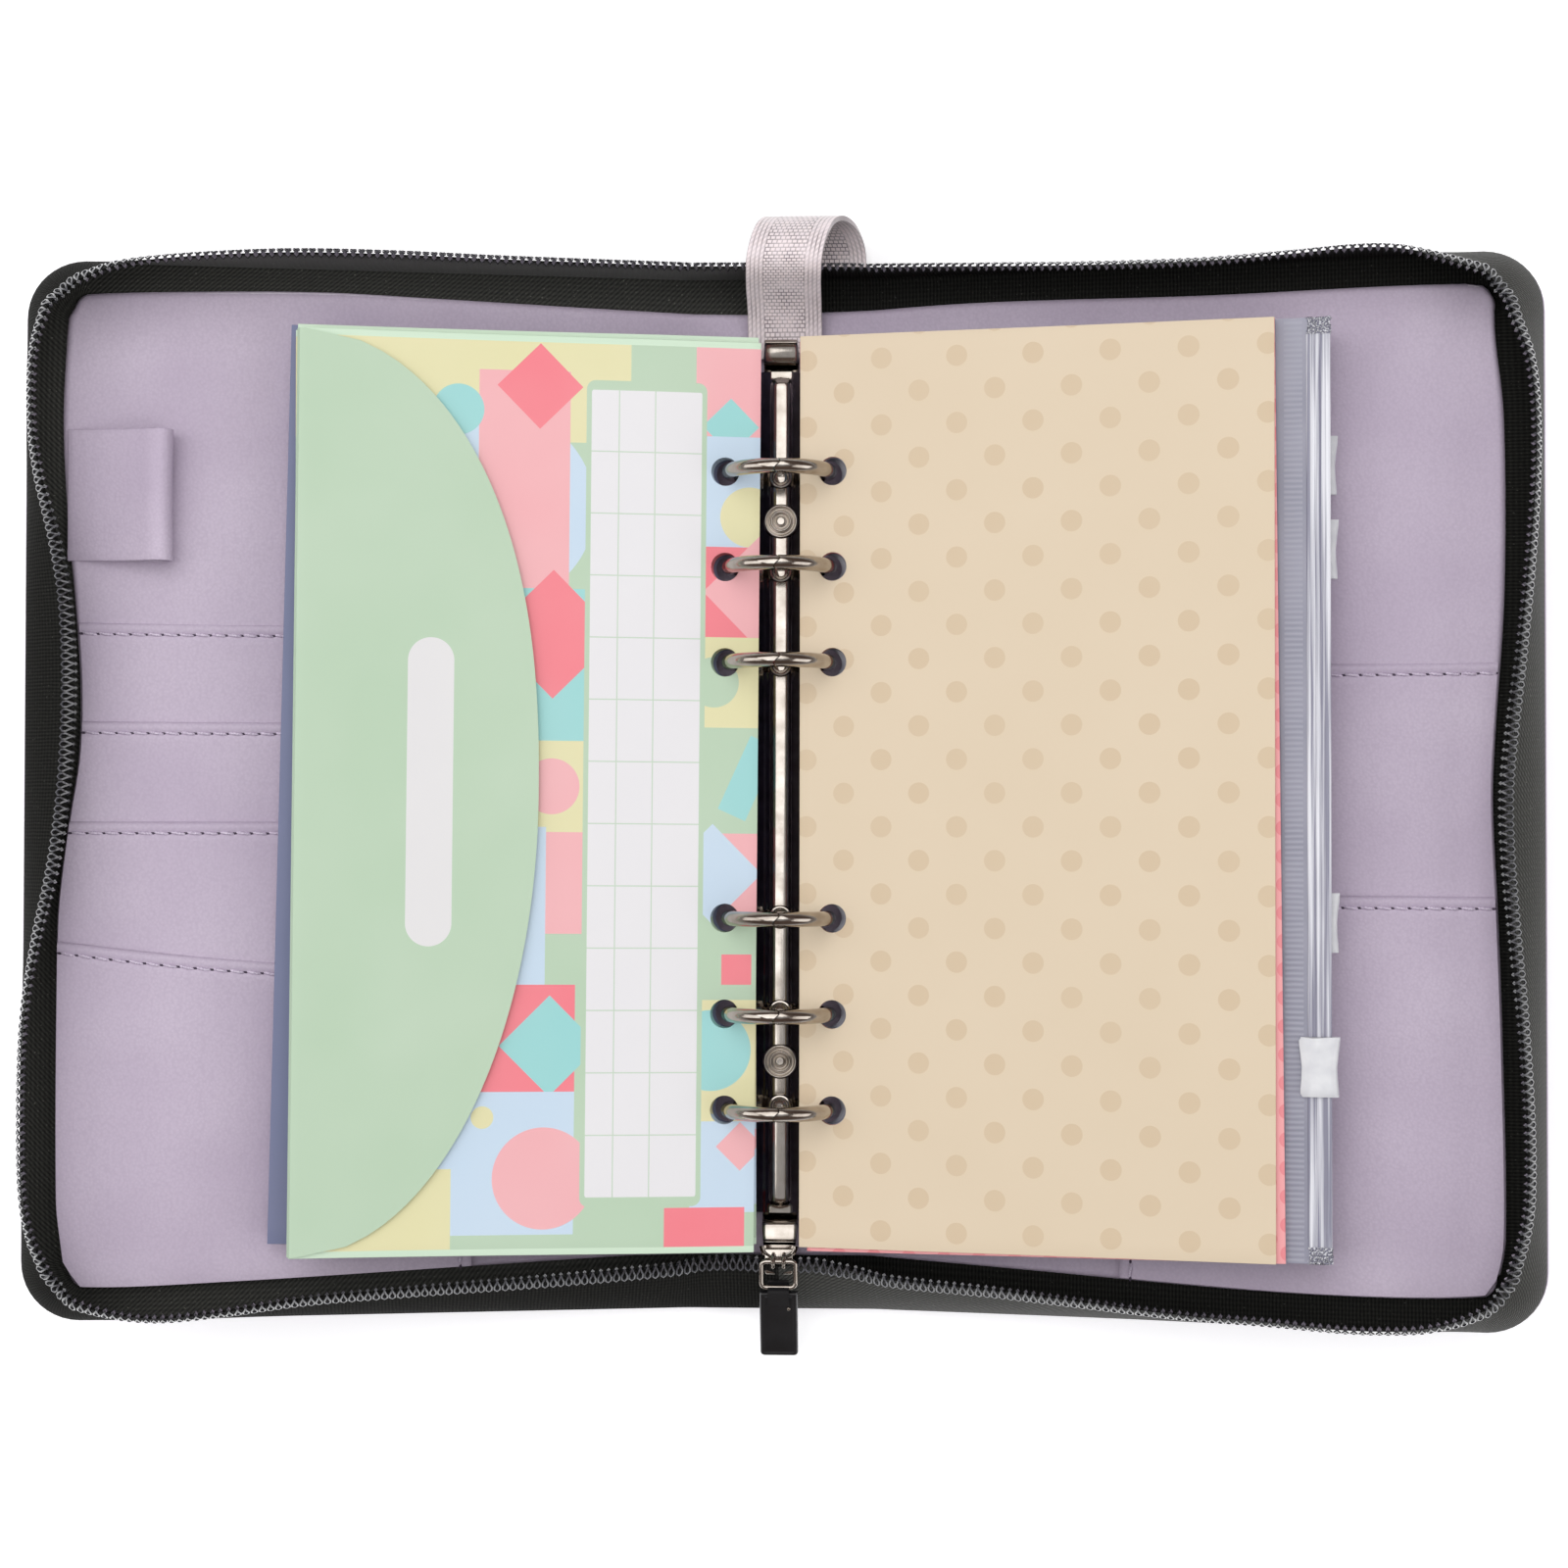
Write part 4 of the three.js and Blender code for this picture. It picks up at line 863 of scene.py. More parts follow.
def pocketSpot(side, plan, node, u, below):
    # a place on a pocket: u from the seam to the outer edge, below the folded top in mm or a share of the rest
    across = mixed(plan["seam"], straightRun, u)
    bottom = -halfHeight + hemWidth(side, across)
    top = pocketTop(plan, node, across)
    if isinstance(below, tuple):
        along_ = mixed(top - foldProfile[-1][0], bottom, below[0])
        stand = 0
    else:
        along_, stand = top - below, through(foldProfile, below)
    across = mixed(plan["seam"], outerLimit(side, along_), u)
    inner = across - plan["seam"]
    edge = -0.3 * ease((0.5 - inner) / 0.5) - 0.1 * ease(1 - abs(inner - pocket["seamInset"]) / 0.7)
    rise = hemRise(side, across, along_) + 0.18 * math.sin(across / 11 + plan["tops"][node]) * ease(inner / 20)
    return across, along_, plan["levels"][node] + stand + edge + rise


def buildPocket(side, plan, node):
    low = [(1 - i / 24,) for i in range(24)]
    rows = low + [d for d, _ in reversed(foldProfile)]
    edges = [0, 0.3, 0.6, 1.2, 1.7, 2.0, 2.3, 3]
    span = outerLimit(side, 0) - plan["seam"]
    columns = [d / span for d in edges] + [mixed(3 / span, 1, i / pocket["columns"])
                                           for i in range(1, pocket["columns"] + 1)]

    def place(u, v):
        spot = pocketSpot(side, plan, node, columns[round(u * (len(columns) - 1))], rows[round(v * (len(rows) - 1))])
        return foldPoint(side, *spot)

    words = node.split("_")
    name = words[0] + "".join(word.title() for word in words[1:])
    sheet = gridSheet(name, len(columns) - 1, len(rows) - 1, place)
    modify(sheet, "SOLIDIFY", thickness=pocket["thickness"] * mm, offset=side)
    smooth(sheet, 45)
    dress(sheet, [lilac], body=sides[side], replaced=(node,))


def stitchPlaces(spots):
    # one frame for each stitch along a row of (across, along, level) stops, already folded into the wallet
    places = []
    for here, there in zip(spots, spots[1:]):
        forward = (there - here).normalized()
        up = Vector((0, 0, 1))
        up = (up - forward * up.dot(forward)).normalized()
        turn = Matrix((forward, up.cross(forward), up)).transposed().to_4x4()
        places.append(Matrix.Translation((here + there) / 2 * mm) @ turn)
    return places


def rowOfStops(length, spot):
    count = max(round(length / pocket["pitch"]), 2)
    return [Vector(spot(i / count)) for i in range(count + 1)]


def stitchMaster():
    # a twisted stitch dives into its needle hole at both ends and lies a little slantwise
    half = pocket["pitch"] / 2
    path = [(-half + 0.25, 0.16, -0.32), (-half + 0.5, 0.15, 0.08), (-0.5, 0.06, 0.24), (0.5, -0.06, 0.24),
            (half - 0.5, -0.15, 0.08), (half - 0.25, -0.16, -0.32)]
    thread = wireAlong("stitch", path, pocket["thread"], sides=1, radii=[0.7, 0.95, 1.1, 1.1, 0.95, 0.7])
    smooth(thread, 80)
    thread.data.materials.append(sewingThread)
    deselectAll()
    # a flat dark disc at the stitch's end: painted shade for the needle hole
    bpy.ops.mesh.primitive_circle_add(vertices=8, radius=0.34 * mm, fill_type="NGON", location=(half * mm, 0, 0.1 * mm))
    hole = newest("needleHoleShade")
    hole.scale = (1.5, 0.8, 1)
    applyPlace(hole)
    hole.data.materials.append(needleHoleShade)
    return joinPieces("stitch", [thread, hole])


def layStitches(name, rows, body):
    places = [place for row in rows for place in stitchPlaces(row)]
    row = layCopies(stitchMaster(), places, name)
    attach(row, body)


def sewPockets(side, plan):
    rows = []
    lift = pocket["thickness"] + 0.02
    for node in plan["tops"]:
        def spot(share, node=node):
            span = outerLimit(side, 0) - plan["seam"]
            u = mixed(pocket["seamInset"] / span, 0.995, share)
            across, along_, level = pocketSpot(side, plan, node, u, pocket["stitchDepth"])
            return foldPoint(side, across, along_, level + lift)
        rows.append(rowOfStops(reach - 8 - plan["seam"], spot))
    marks = list(plan["tops"])
    across = plan["seam"] + pocket["seamInset"]
    ends = [pocketTop(plan, node, across) for node in marks] + [-halfHeight + hemWidth(side, across)]
    for node, top, bottom in zip(marks, ends, ends[1:]):
        def down(share, node=node, top=top, bottom=bottom):
            level = plan["levels"][node] + lift - 0.1 + hemRise(side, across, mixed(top, bottom, share))
            return foldPoint(side, across, mixed(top - pocket["stitchDepth"], bottom, share), level)
        rows.append(rowOfStops(top - pocket["stitchDepth"] - bottom, down))
    layStitches(sides[side][:-6] + "PocketStitches", rows, sides[side])


for side, plan in ((-1, fronts), (1, backs)):
    for node in plan["tops"]:
        buildPocket(side, plan, node)
    sewPockets(side, plan)
print("pockets and stitches are in")


# Pen loop: a band folded back on itself, low at the seam and high at its free fold

penLoop = {"low": 45, "high": 71, "thickness": 0.7,
           "section": [(142.6, 4.3), (138, 4.9), (133, 6.0), (129, 7.4), (126.3, 8.7), (124.5, 9.2), (123.3, 9.0),
                       (122.5, 8.2), (122.3, 7.0), (122.6, 5.6), (123.5, 4.6), (125, 4.1), (128, 3.9), (133, 3.75),
                       (142.6, 3.65)]}
penMarks = [[(i, stop[k]) for i, stop in enumerate(penLoop["section"])] for k in range(2)]


def penPoint(u, v):
    across, level = (through(marks, u * (len(penLoop["section"]) - 1)) for marks in penMarks)
    sway = 0.25 * math.sin(v * 3.1) * ease((level - 4) / 4)
    return foldPoint(-1, across + sway, mixed(penLoop["low"], penLoop["high"], v), level)


loopBand = gridSheet("penLoop", 56, 14, penPoint)
modify(loopBand, "SOLIDIFY", thickness=penLoop["thickness"] * mm, offset=0)
modify(loopBand, "BEVEL", width=0.15 * mm, segments=2, limit_method="ANGLE")
smooth(loopBand, 45)
dress(loopBand, [lilac], body="front_cover", replaced=("pen_loop",))
print("pen loop is in")


# Wrist strap: woven ribbon, sewn on the lining, up over the coil and back under the tape

strap = {"width": 15, "thickness": 1.0, "shift": 9, "centre": 0.7,
         "route": [(88, 4.3, 0), (94, 5.6, 0), (98, 8.6, 0), (101, 13.6, 0), (103.2, 18.2, 0.02), (105.8, 20.1, 0.05),
                   (110, 19.3, 0.16), (113.6, 15.6, 0.32), (115.2, 10.4, 0.55), (114.2, 5.6, 0.8), (110.6, 2.7, 0.97),
                   (105.6, 1.9, 1)]}
strapMarks = [[(i, stop[k]) for i, stop in enumerate(strap["route"])] for k in range(3)]


def strapPoint(u, v):
    y, z, shift = (through(marks, u * (len(strap["route"]) - 1)) for marks in strapMarks)
    return strap["centre"] + strap["shift"] * shift + (v - 0.5) * strap["width"], y, z


ribbon = gridSheet("wristStrap", 90, 12, strapPoint, 47, strap["width"])
modify(ribbon, "SOLIDIFY", thickness=strap["thickness"] * mm, offset=0)
smooth(ribbon, 50)
dress(ribbon, [ribbonWeave], body="root", replaced=("wrist_strap",))
print("strap is in")


# Ring mechanism: pressed cover plate with a raised rib, rivets, twelve half rings and two levers

rings = {"places": (-63.4, -44.4, -25.4, 25.4, 44.4, 63.4), "radius": 10, "wire": 1.5, "height": 15.5,
         "steps": 34, "around": 18, "foot": -64, "jogReach": 0.62, "jogGap": 0.13}
plate = {"half": 85, "base": 3.5, "wall": 0.7,
         "arch": [(7, 3.5), (7, 3.9), (6.8, 4.35), (6.2, 4.75), (5.2, 5.2), (4.4, 5.55), (3.75, 5.85), (3.5, 6.0),
                  (3.3, 6.02), (2.8, 6.24), (2.3, 6.46), (1.95, 6.8), (1.75, 7.15), (1.5, 7.36), (0.6, 7.42), (0, 7.42)],
         "slot": (5.5, 3.6)}


def buildPlate():
    # the rib fades into a rounded tip at each end
    half, arch = plate["half"], plate["arch"]
    stations = [-half + 0.35 * i for i in range(10)]
    stations += [mixed(stations[-1], -stations[-1], i / 60) for i in range(1, 60)]
    stations += [half - 0.35 * i for i in reversed(range(10))]
    crossPoints = [(-x, z) for x, z in arch[:-1]] + [(x, z) for x, z in reversed(arch)]

    def place(u, v):
        y = stations[round(u * (len(stations) - 1))]
        across, level = crossPoints[round(v * (len(crossPoints) - 1))]
        tip = ease((abs(y) - (half - 3)) / 2.4)
        flat = min(level, 6.5)
        keep = max(1 - tip * (1 + 0.5 * (abs(across) / 1.9) ** 2), 0)
        return across, y, flat + (level - flat) * keep

    body = gridSheet("ringCoverPlate", len(stations) - 1, len(crossPoints) - 1, place)
    modify(body, "SOLIDIFY", thickness=plate["wall"] * mm, offset=1)  # the sheet faces down, so the arch stays its top
    outward(body, 0.000001)
    deselectAll()
    slots = []
    for y in rings["places"]:
        for side in sides:
            bpy.ops.mesh.primitive_cube_add(size=1, location=(side * plate["slot"][0] * mm, y * mm, 0.0055))
            slot = newest("ringSlot")
            slot.scale = (plate["slot"][1] * mm, 4 * mm, 6 * mm)
            applyPlace(slot)
            slots.append(slot)
    cutter = joinPieces("ringSlots", slots)
    modify(body, "BOOLEAN", object=cutter, operation="DIFFERENCE", solver="EXACT")
    bpy.data.objects.remove(cutter)
    # a small round stop is stamped under each ring joint
    bosses = [body]
    for y in rings["places"]:
        bosses.append(turned("ringStop", [(0, 7.62), (1.1, 7.66), (1.4, 7.9), (1.65, 8.3), (1.9, 8.42), (2.15, 8.36),
                                          (2.36, 8.05), (2.42, 7.5), (2.46, 6.2)], 28, (0, y)))
    body = joinPieces("ringCoverPlate", bosses)
    smooth(body, 38)
    dress(body, [nickel], body="root", replaced=("ring_cover_plate",))


def turned(name, profile, steps, centre=(0, 0)):
    # a round form spun from its half section of (radius, height) stops, in millimetres
    deselectAll()
    bpy.ops.mesh.primitive_circle_add(vertices=steps, radius=1, fill_type="NOTHING")
    form = newest(name)
    bpy.ops.object.mode_set(mode="EDIT")
    bpy.ops.mesh.select_all(action="SELECT")
    for _ in profile[1:]:
        bpy.ops.mesh.extrude_region_move()
    bpy.ops.object.mode_set(mode="OBJECT")
    points = form.data.vertices
    for i, (radius, height) in enumerate(profile):
        for k in range(steps):
            angle = 2 * math.pi * k / steps
            points[i * steps + k].co = ((centre[0] + radius * math.cos(angle)) * mm,
                                        (centre[1] + radius * math.sin(angle)) * mm, height * mm)
    outward(form, 0.000001)
    return form


buildPlate()

# the rivets are turned brass, nickel plated, with rolled rings round a sunk middle
rivet = {"places": {"rivet_top": 54.5, "rivet_bottom": -54.5}, "seat": 7.35,
         "profile": [(0, 0.62), (0.6, 0.64)] + [(0.7 + 0.11 * i, 0.42 + 0.22 * math.cos(0.571 * i)) for i in range(25)]
         + [(3.5, 0.1), (3.62, -0.3), (3.66, -1.3), (0, -1.35)]}
for node, y in rivet["places"].items():
    head = turned(node.replace("_t", "T").replace("_b", "B"), [(r, rivet["seat"] + h) for r, h in rivet["profile"]],
                  40, (0, y))
    smooth(head, 60)
    dress(head, [nickel], body="root", replaced=(node,))


def buildRing(side):
    # one half ring: a wire with an interlocking jog at the top joint
    steps, around, wire = rings["steps"], rings["around"], rings["wire"]
    foot = math.radians(rings["foot"])

    def place(u, v):
        turn = mixed(math.pi / 2, foot, u)
        angle = 2 * math.pi * v
        offset = wire * math.cos(angle)  # outward from the ring's centre
        y = wire * math.sin(angle)
        jog = rings["jogReach"] * math.sin(math.pi * y / wire) + side * rings["jogGap"]
        radius = rings["radius"] + offset
        x = radius * math.cos(turn) + side * jog * max(0, 1 - u * steps / 4)
        return side * x, y, rings["height"] + radius * math.sin(turn)

    ring = gridSheet("halfRing", steps, around, place)
    outward(ring, 0.00003)
    selectWhere(ring, lambda edge: False, "EDGE")
    bpy.ops.mesh.select_non_manifold()
    bpy.ops.mesh.edge_face_add()
    bpy.ops.object.mode_set(mode="OBJECT")
    outward(ring, 0.000001)
    smooth(ring, 50)
    return ring


for side, word in ((-1, "left"), (1, "right")):
    master = buildRing(side)
    for i, y in enumerate(rings["places"]):
        copy = master.copy()
        copy.data = master.data.copy()
        copy.data.transform(Matrix.Translation((0, y * mm, 0)))
        bpy.context.collection.objects.link(copy)
        copy.name = f"{word}Ring{i + 1}"
        dress(copy, [nickel], body=f"{word}_rings", replaced=(f"ring_{word}_{i + 1}",))
    bpy.data.objects.remove(master)

# the levers are bent from sheet, with a thumb lip at the end
lever = {"thickness": 0.9, "half": 3.55,
         "path": [(79.9, 4.35), (83.5, 4.4), (85.6, 4.7), (86.4, 5.5), (86.9, 6.6), (87.5, 7.25), (88.6, 7.55),
                  (89.8, 7.75), (90.5, 8.1), (90.9, 8.7)]}
leverMarks = [[(i, stop[k]) for i, stop in enumerate(lever["path"])] for k in range(2)]


def buildLever(end, node):
    def place(u, v):
        y, z = (through(marks, u * (len(lever["path"]) - 1)) for marks in leverMarks)
        across = (2 * v - 1) * lever["half"] * (1 - 0.07 * ease((y - 87) / 4))
        return across, end * y, z - 0.18 * (2 * v - 1) ** 2

    blade = gridSheet(node.replace("_t", "T").replace("_b", "B"), 44, 10, place)
    modify(blade, "SOLIDIFY", thickness=lever["thickness"] * mm, offset=0)
    modify(blade, "BEVEL", width=0.25 * mm, segments=3, limit_method="ANGLE", angle_limit=1.0)
    outward(blade, 0.000001)
    smooth(blade, 50)
    dress(blade, [nickel], body=node, replaced=(node,))


buildLever(1, "lever_top")
buildLever(-1, "lever_bottom")
print("ring mechanism is in")


# Printed leaves: each is cut flat, punched, and then laid on the rings

leaf = {"inner": 4.1, "half": 90.5, "columns": 44, "rows": 56, "hole": 2.85, "holeOut": 0.75, "bow": -0.5}


def leafPoint(side, slope, r, y, depth, lift=0):
    # leaves sag a little between the rings and their outer edge, all alike
    swell = leaf["bow"] * math.sin(math.pi * min(max((r - 25) / 75, 0), 1)) * (1 + 0.4 * math.sin(y / 29 + side))
    c, s = math.cos(math.radians(slope)), math.sin(math.radians(slope))
    return side * (r * c + depth * s), y, rings["height"] + r * s - depth * c + swell + lift


def warpLeaf(piece, side, slope, depth, turn=0, shift=(0, 0), liftAt=None):
    # flat millimetres become the UV map, then the sheet takes its place on the rings
    mesh = piece.data
    uvs = (mesh.uv_layers or [mesh.uv_layers.new(name="flat")])[0].data
    for loop in mesh.loops:
        flat = mesh.vertices[loop.vertex_index].co / mm
        uvs[loop.index].uv = (flat.x - leaf["inner"], flat.y + leaf["half"])
    c, s = math.cos(math.radians(turn)), math.sin(math.radians(turn))
    for point in mesh.vertices:
        r, y, z = point.co / mm
        lift = liftAt(r, y) if liftAt else 0
        r, y = r * c - y * s + shift[0], r * s + y * c + shift[1]
        point.co = Vector(leafPoint(side, slope, r, y, depth - z, lift)) * mm
    if side < 0:
        outward(piece, 0.000001)


def punch(piece, depth, radius, turn=0, shift=(0, 0)):
    # the holes stay on the rings however the leaf lies, and clear them when they open
    reachOut = math.sqrt(rings["radius"] ** 2 - depth ** 2) + leaf["holeOut"]
    deselectAll()
    cutters = []
    for y in rings["places"]:
        spot = Matrix.Rotation(-math.radians(turn), 2) @ (Vector((reachOut, y)) - Vector(shift)) * mm
        bpy.ops.mesh.primitive_cylinder_add(vertices=28, radius=radius * mm, depth=0.02, location=(*spot, 0))
        cutters.append(newest("punch"))
        applyPlace(cutters[-1])
    cutter = joinPieces("punch", cutters)
    modify(piece, "BOOLEAN", object=cutter, operation="DIFFERENCE", solver="EXACT")
    bpy.data.objects.remove(cutter)


def flatSheet(name, outer, thickness, low=None, high=None, round_=0.0):
    low, high = (-leaf["half"] if low is None else low), (leaf["half"] if high is None else high)
    sheet = gridSheet(name, leaf["columns"], leaf["rows"],
                      lambda u, v: (mixed(leaf["inner"], outer, u), mixed(low, high, v), 0))
    modify(sheet, "SOLIDIFY", thickness=thickness * mm, offset=-1)
    if round_:
        modify(sheet, "BEVEL", width=round_ * mm, segments=2, limit_method="ANGLE")
    return sheet


def layLeaf(name, node, body, side, slope, depth, outer, thickness, material, slot, **more):
    sheet = flatSheet(name, outer, thickness, round_=more.pop("round_", 0.1))
    punch(sheet, depth, leaf["hole"], **more)
    warpLeaf(sheet, side, slope, depth, **more)
    smooth(sheet, 50)
    dress(sheet, [material], body=body, replaced=(node,))
    return sheet


def roundedMask(tree, place, centre, half, radius, turn=0.0):
    # 1 inside a rounded rectangle, circle or capsule on the flat sheet
    local = addNode(tree, "Mapping", {"vector_type": "TEXTURE"}, Vector=place, Location=(*centre, 0),
                    Rotation=(0, 0, math.radians(turn))).outputs[0]
    for operation, value in (("ABSOLUTE", None), ("SUBTRACT", (half[0] - radius, half[1] - radius, 0)),
                             ("MAXIMUM", (0, 0, 0)), ("MULTIPLY", (1, 1, 0))):
        inputs = {"_0": local} if value is None else {"_0": local, "_1": value}
        local = addNode(tree, "VectorMath", {"operation": operation}, **inputs).outputs[0]
    distance = addNode(tree, "VectorMath", {"operation": "LENGTH"}, _0=local).outputs["Value"]
    return maths(tree, "LESS_THAN", distance, radius)


def paperFinish(tree, shader, colour, values):
    # coated paper: an even ink layer with a soft satin sheen over faint fibre
    place = placeInMm(tree, "UV")
    fibre = noiseOf(tree, place, values["fibre"], 4)
    mottle = noiseOf(tree, place, values["mottle"], 2)
    shaded = tint(tree, rangeOf(tree, mottle, 0.3, 0.7, 0, values["fade"]), colour, values["fadeTo"])
    tree.links.new(shaded, shader.inputs["Base Color"])
    tree.links.new(bumpOf(tree, mottle, values["ripple"], bumpOf(tree, fibre, 0.01)), shader.inputs["Normal"])
    shader.inputs["Roughness"].default_value = values["rough"]
    shader.inputs["Specular IOR Level"].default_value = 0.4


paper = {"fibre": 0.4, "mottle": 30, "fade": 0.08, "fadeTo": "#F3F1EC", "ripple": 0.6, "rough": 0.5}
inks = {"green": "#B8CFB4", "pink": "#F0B0B4", "coral": "#F27F8A", "yellow": "#E2DCAC", "blue": "#C6D9EA",
        "teal": "#9AD4D2", "white": "#E6E4E6", "line": "#C3D3C0", "edge": "#CFE5CC"}
# plain shapes laid from the back to the front: ink, centre, half size, corner radius, turn
patchwork = [
    ("yellow", (60, 172), (34, 12), 0.1, 0), ("blue", (52, 147), (19, 19), 19, 0),
    ("pink", (47, 152), (9, 22), 0.1, 0), ("coral", (44, 171), (6, 6), 0.1, 45), ("teal", (60, 166), (5, 5), 5, 0),
    ("teal", (42, 116), (9, 15), 0.1, 0), ("coral", (41, 122), (9, 9), 0.1, 45), ("yellow", (43, 92), (10, 9), 0.1, 0),
    ("pink", (41, 92), (5.5, 5.5), 5.5, 0), ("pink", (40, 73), (6, 10), 0.1, 0), ("blue", (47, 68), (5, 16), 0.1, 0),
    ("coral", (52, 42), (16, 11), 0.1, 0), ("teal", (41, 41), (7, 7), 0.1, 45), ("blue", (62, 18), (26, 14), 0.1, 0),
    ("pink", (42, 15), (10, 10), 10, 0), ("yellow", (76, 8), (16, 9), 0.1, 0), ("yellow", (54, 27), (2.2, 2.2), 2.2, 0),
    ("yellow", (59.5, 27), (2.2, 2.2), 2.2, 0), ("yellow", (65, 27), (2.2, 2.2), 2.2, 0),
    ("pink", (5, 172), (8, 10), 0.1, 0), ("teal", (6, 164), (4, 4), 0.1, 45), ("blue", (5, 151), (8, 11), 0.1, 0),
    ("yellow", (2, 146), (6, 6), 6, 0), ("coral", (5, 131), (8, 9), 0.1, 0), ("pink", (0, 131), (8, 8), 0.1, 45),
    ("yellow", (5, 113), (8, 9), 0.1, 0), ("green", (9, 113), (5, 5), 5, 0), ("teal", (2, 94), (3, 8), 0.1, 24),
    ("pink", (5, 75), (8, 8), 0.1, 0), ("blue", (9, 75), (7, 7), 0.1, 45), ("coral", (4, 56), (3, 3), 0.1, 0),
    ("yellow", (5, 38), (8, 12), 0.1, 0), ("teal", (9, 40), (8, 8), 8, 0), ("blue", (5, 17), (8, 9), 0.1, 0),
    ("coral", (10, 5), (8, 4), 0.1, 0), ("pink", (3, 21), (3.4, 3.4), 0.1, 45),
]
chart = {"frame": ((22.8, 90.9), (12.0, 81.6), 1.8), "sheet": ((22.8, 90.9), (11, 79.8), 0.6), "rows": 13,
         "columns": (-1.7, 5.5), "line": 0.12, "wide": 11, "tall": 79.8}


def printedPaper(name, withChart):
    material, tree, shader = newMaterial(name)
    place = placeInMm(tree, "UV")
    colour = tint(tree, 0.0, inks["green"], inks["green"])
    for ink, centre, half, radius, turn in patchwork:
        colour = tint(tree, roundedMask(tree, place, centre, half, radius, turn), colour, inks[ink])
    if withChart:
        colour = tint(tree, roundedMask(tree, place, *chart["frame"]), colour, inks["green"])
        colour = tint(tree, roundedMask(tree, place, *chart["sheet"]), colour, inks["white"])
        local = addNode(tree, "Mapping", {"vector_type": "TEXTURE"}, Vector=place,
                        Location=(*chart["sheet"][0], 0)).outputs[0]
        parts = addNode(tree, "SeparateXYZ", None, Vector=local).outputs
        step = 2 * chart["tall"] / chart["rows"]
        ruled = maths(tree, "PINGPONG", maths(tree, "ADD", parts[1], chart["tall"]), step / 2)
        rows = maths(tree, "LESS_THAN", maths(tree, "SUBTRACT", step / 2, maths(tree, "ABSOLUTE", maths(
            tree, "SUBTRACT", ruled, step / 2))), chart["line"])
        rules = rows
        for at in chart["columns"]:
            rules = maths(tree, "MAXIMUM", rules, maths(tree, "COMPARE", parts[0], at, chart["line"]))
        inside = roundedMask(tree, place, *chart["sheet"])
        colour = tint(tree, maths(tree, "MULTIPLY", rules, inside), colour, inks["line"])
    edge = roundedMask(tree, place, (45.5, 90.5), (45.5, 89.2), 0.1)
    colour = tint(tree, edge, inks["edge"], colour)
    paperFinish(tree, shader, colour, paper)
    return material


def flapPaper(name):
    material, tree, shader = newMaterial(name)
    place = placeInMm(tree, "UV")
    label = roundedMask(tree, place, (64.8, 90.7), (4.5, 30.2), 4.5)
    paperFinish(tree, shader, tint(tree, label, inks["green"], "#E1DFDF"), paper)
    return material


def dottedCard(name, values):
    material, tree, shader = newMaterial(name)
    place = placeInMm(tree, "UV")
    masks = []
    for shift in ((0, 0), (values["pitch"][0] / 2, values["pitch"][1] / 2)):
        start = (values["first"][0] + shift[0], values["first"][1] + shift[1], 0)
        cell = addNode(tree, "Mapping", {"vector_type": "TEXTURE"}, Vector=place, Location=start,
                       Scale=(*values["pitch"], 1)).outputs[0]
        cell = addNode(tree, "VectorMath", {"operation": "ADD"}, _0=cell, _1=(0.5, 0.5, 0)).outputs[0]
        cell = addNode(tree, "VectorMath", {"operation": "FRACTION"}, _0=cell).outputs[0]
        cell = addNode(tree, "VectorMath", {"operation": "SUBTRACT"}, _0=cell, _1=(0.5, 0.5, 0)).outputs[0]
        cell = addNode(tree, "VectorMath", {"operation": "MULTIPLY"}, _0=cell, _1=(*values["pitch"], 0)).outputs[0]
        distance = addNode(tree, "VectorMath", {"operation": "LENGTH"}, _0=cell).outputs["Value"]
        masks.append(maths(tree, "LESS_THAN", distance, values["radius"]))
    colour = tint(tree, maths(tree, "MAXIMUM", *masks), values["card"], values["dot"])
    paperFinish(tree, shader, colour, {**paper, "fadeTo": values["fadeTo"], "fade": 0.3})
    return material


def plainPaper(name, ink, fadeTo, rough=0.5):
    material, tree, shader = newMaterial(name)
    paperFinish(tree, shader, tint(tree, 0.0, ink, ink), {**paper, "fadeTo": fadeTo, "rough": rough})
    return material


frontPrint = printedPaper("offsetPrintedEnvelope", True)
innerPrint = printedPaper("offsetPrintedEnvelopeInner", False)
greenFlap = flapPaper("offsetPrintedFlap")
creamCard = dottedCard("dottedCreamCard", {"card": "#DDCBB1", "dot": "#D3BD9F", "fadeTo": "#D8C5A9", "radius": 2.1,
                                           "pitch": (15.1, 13.25), "first": (1.4, 176)})
slatePaper = plainPaper("dyedSlatePaper", "#7A7F9F", "#727795")
pinkPaper = dottedCard("printedPinkPaper", {"card": "#F0A3A6", "dot": "#E8858C", "fadeTo": "#F4B6B4", "radius": 1.5,
                                            "pitch": (7, 5.4), "first": (3, 2)})

# left side: three plain envelopes under the one with the folded flap
for node, slope, depth, outer, material, slot, more in (
        ("envelope_4", 8.9, 5.35, 97.1, slatePaper, "slate_paper", {"turn": 1.2, "shift": (1.2, -0.8)}),
        ("envelope_3", 9.6, 4.05, 95.1, innerPrint, "printed_paper", {"turn": -0.15}),
        ("envelope_2", 10.3, 2.75, 95.1, innerPrint, "printed_paper", {"turn": 0.2, "shift": (0, 0.2)})):
    layLeaf(node.replace("_", ""), node, "front_leaves", -1, slope, depth, outer, 0.9, material, slot, **more)

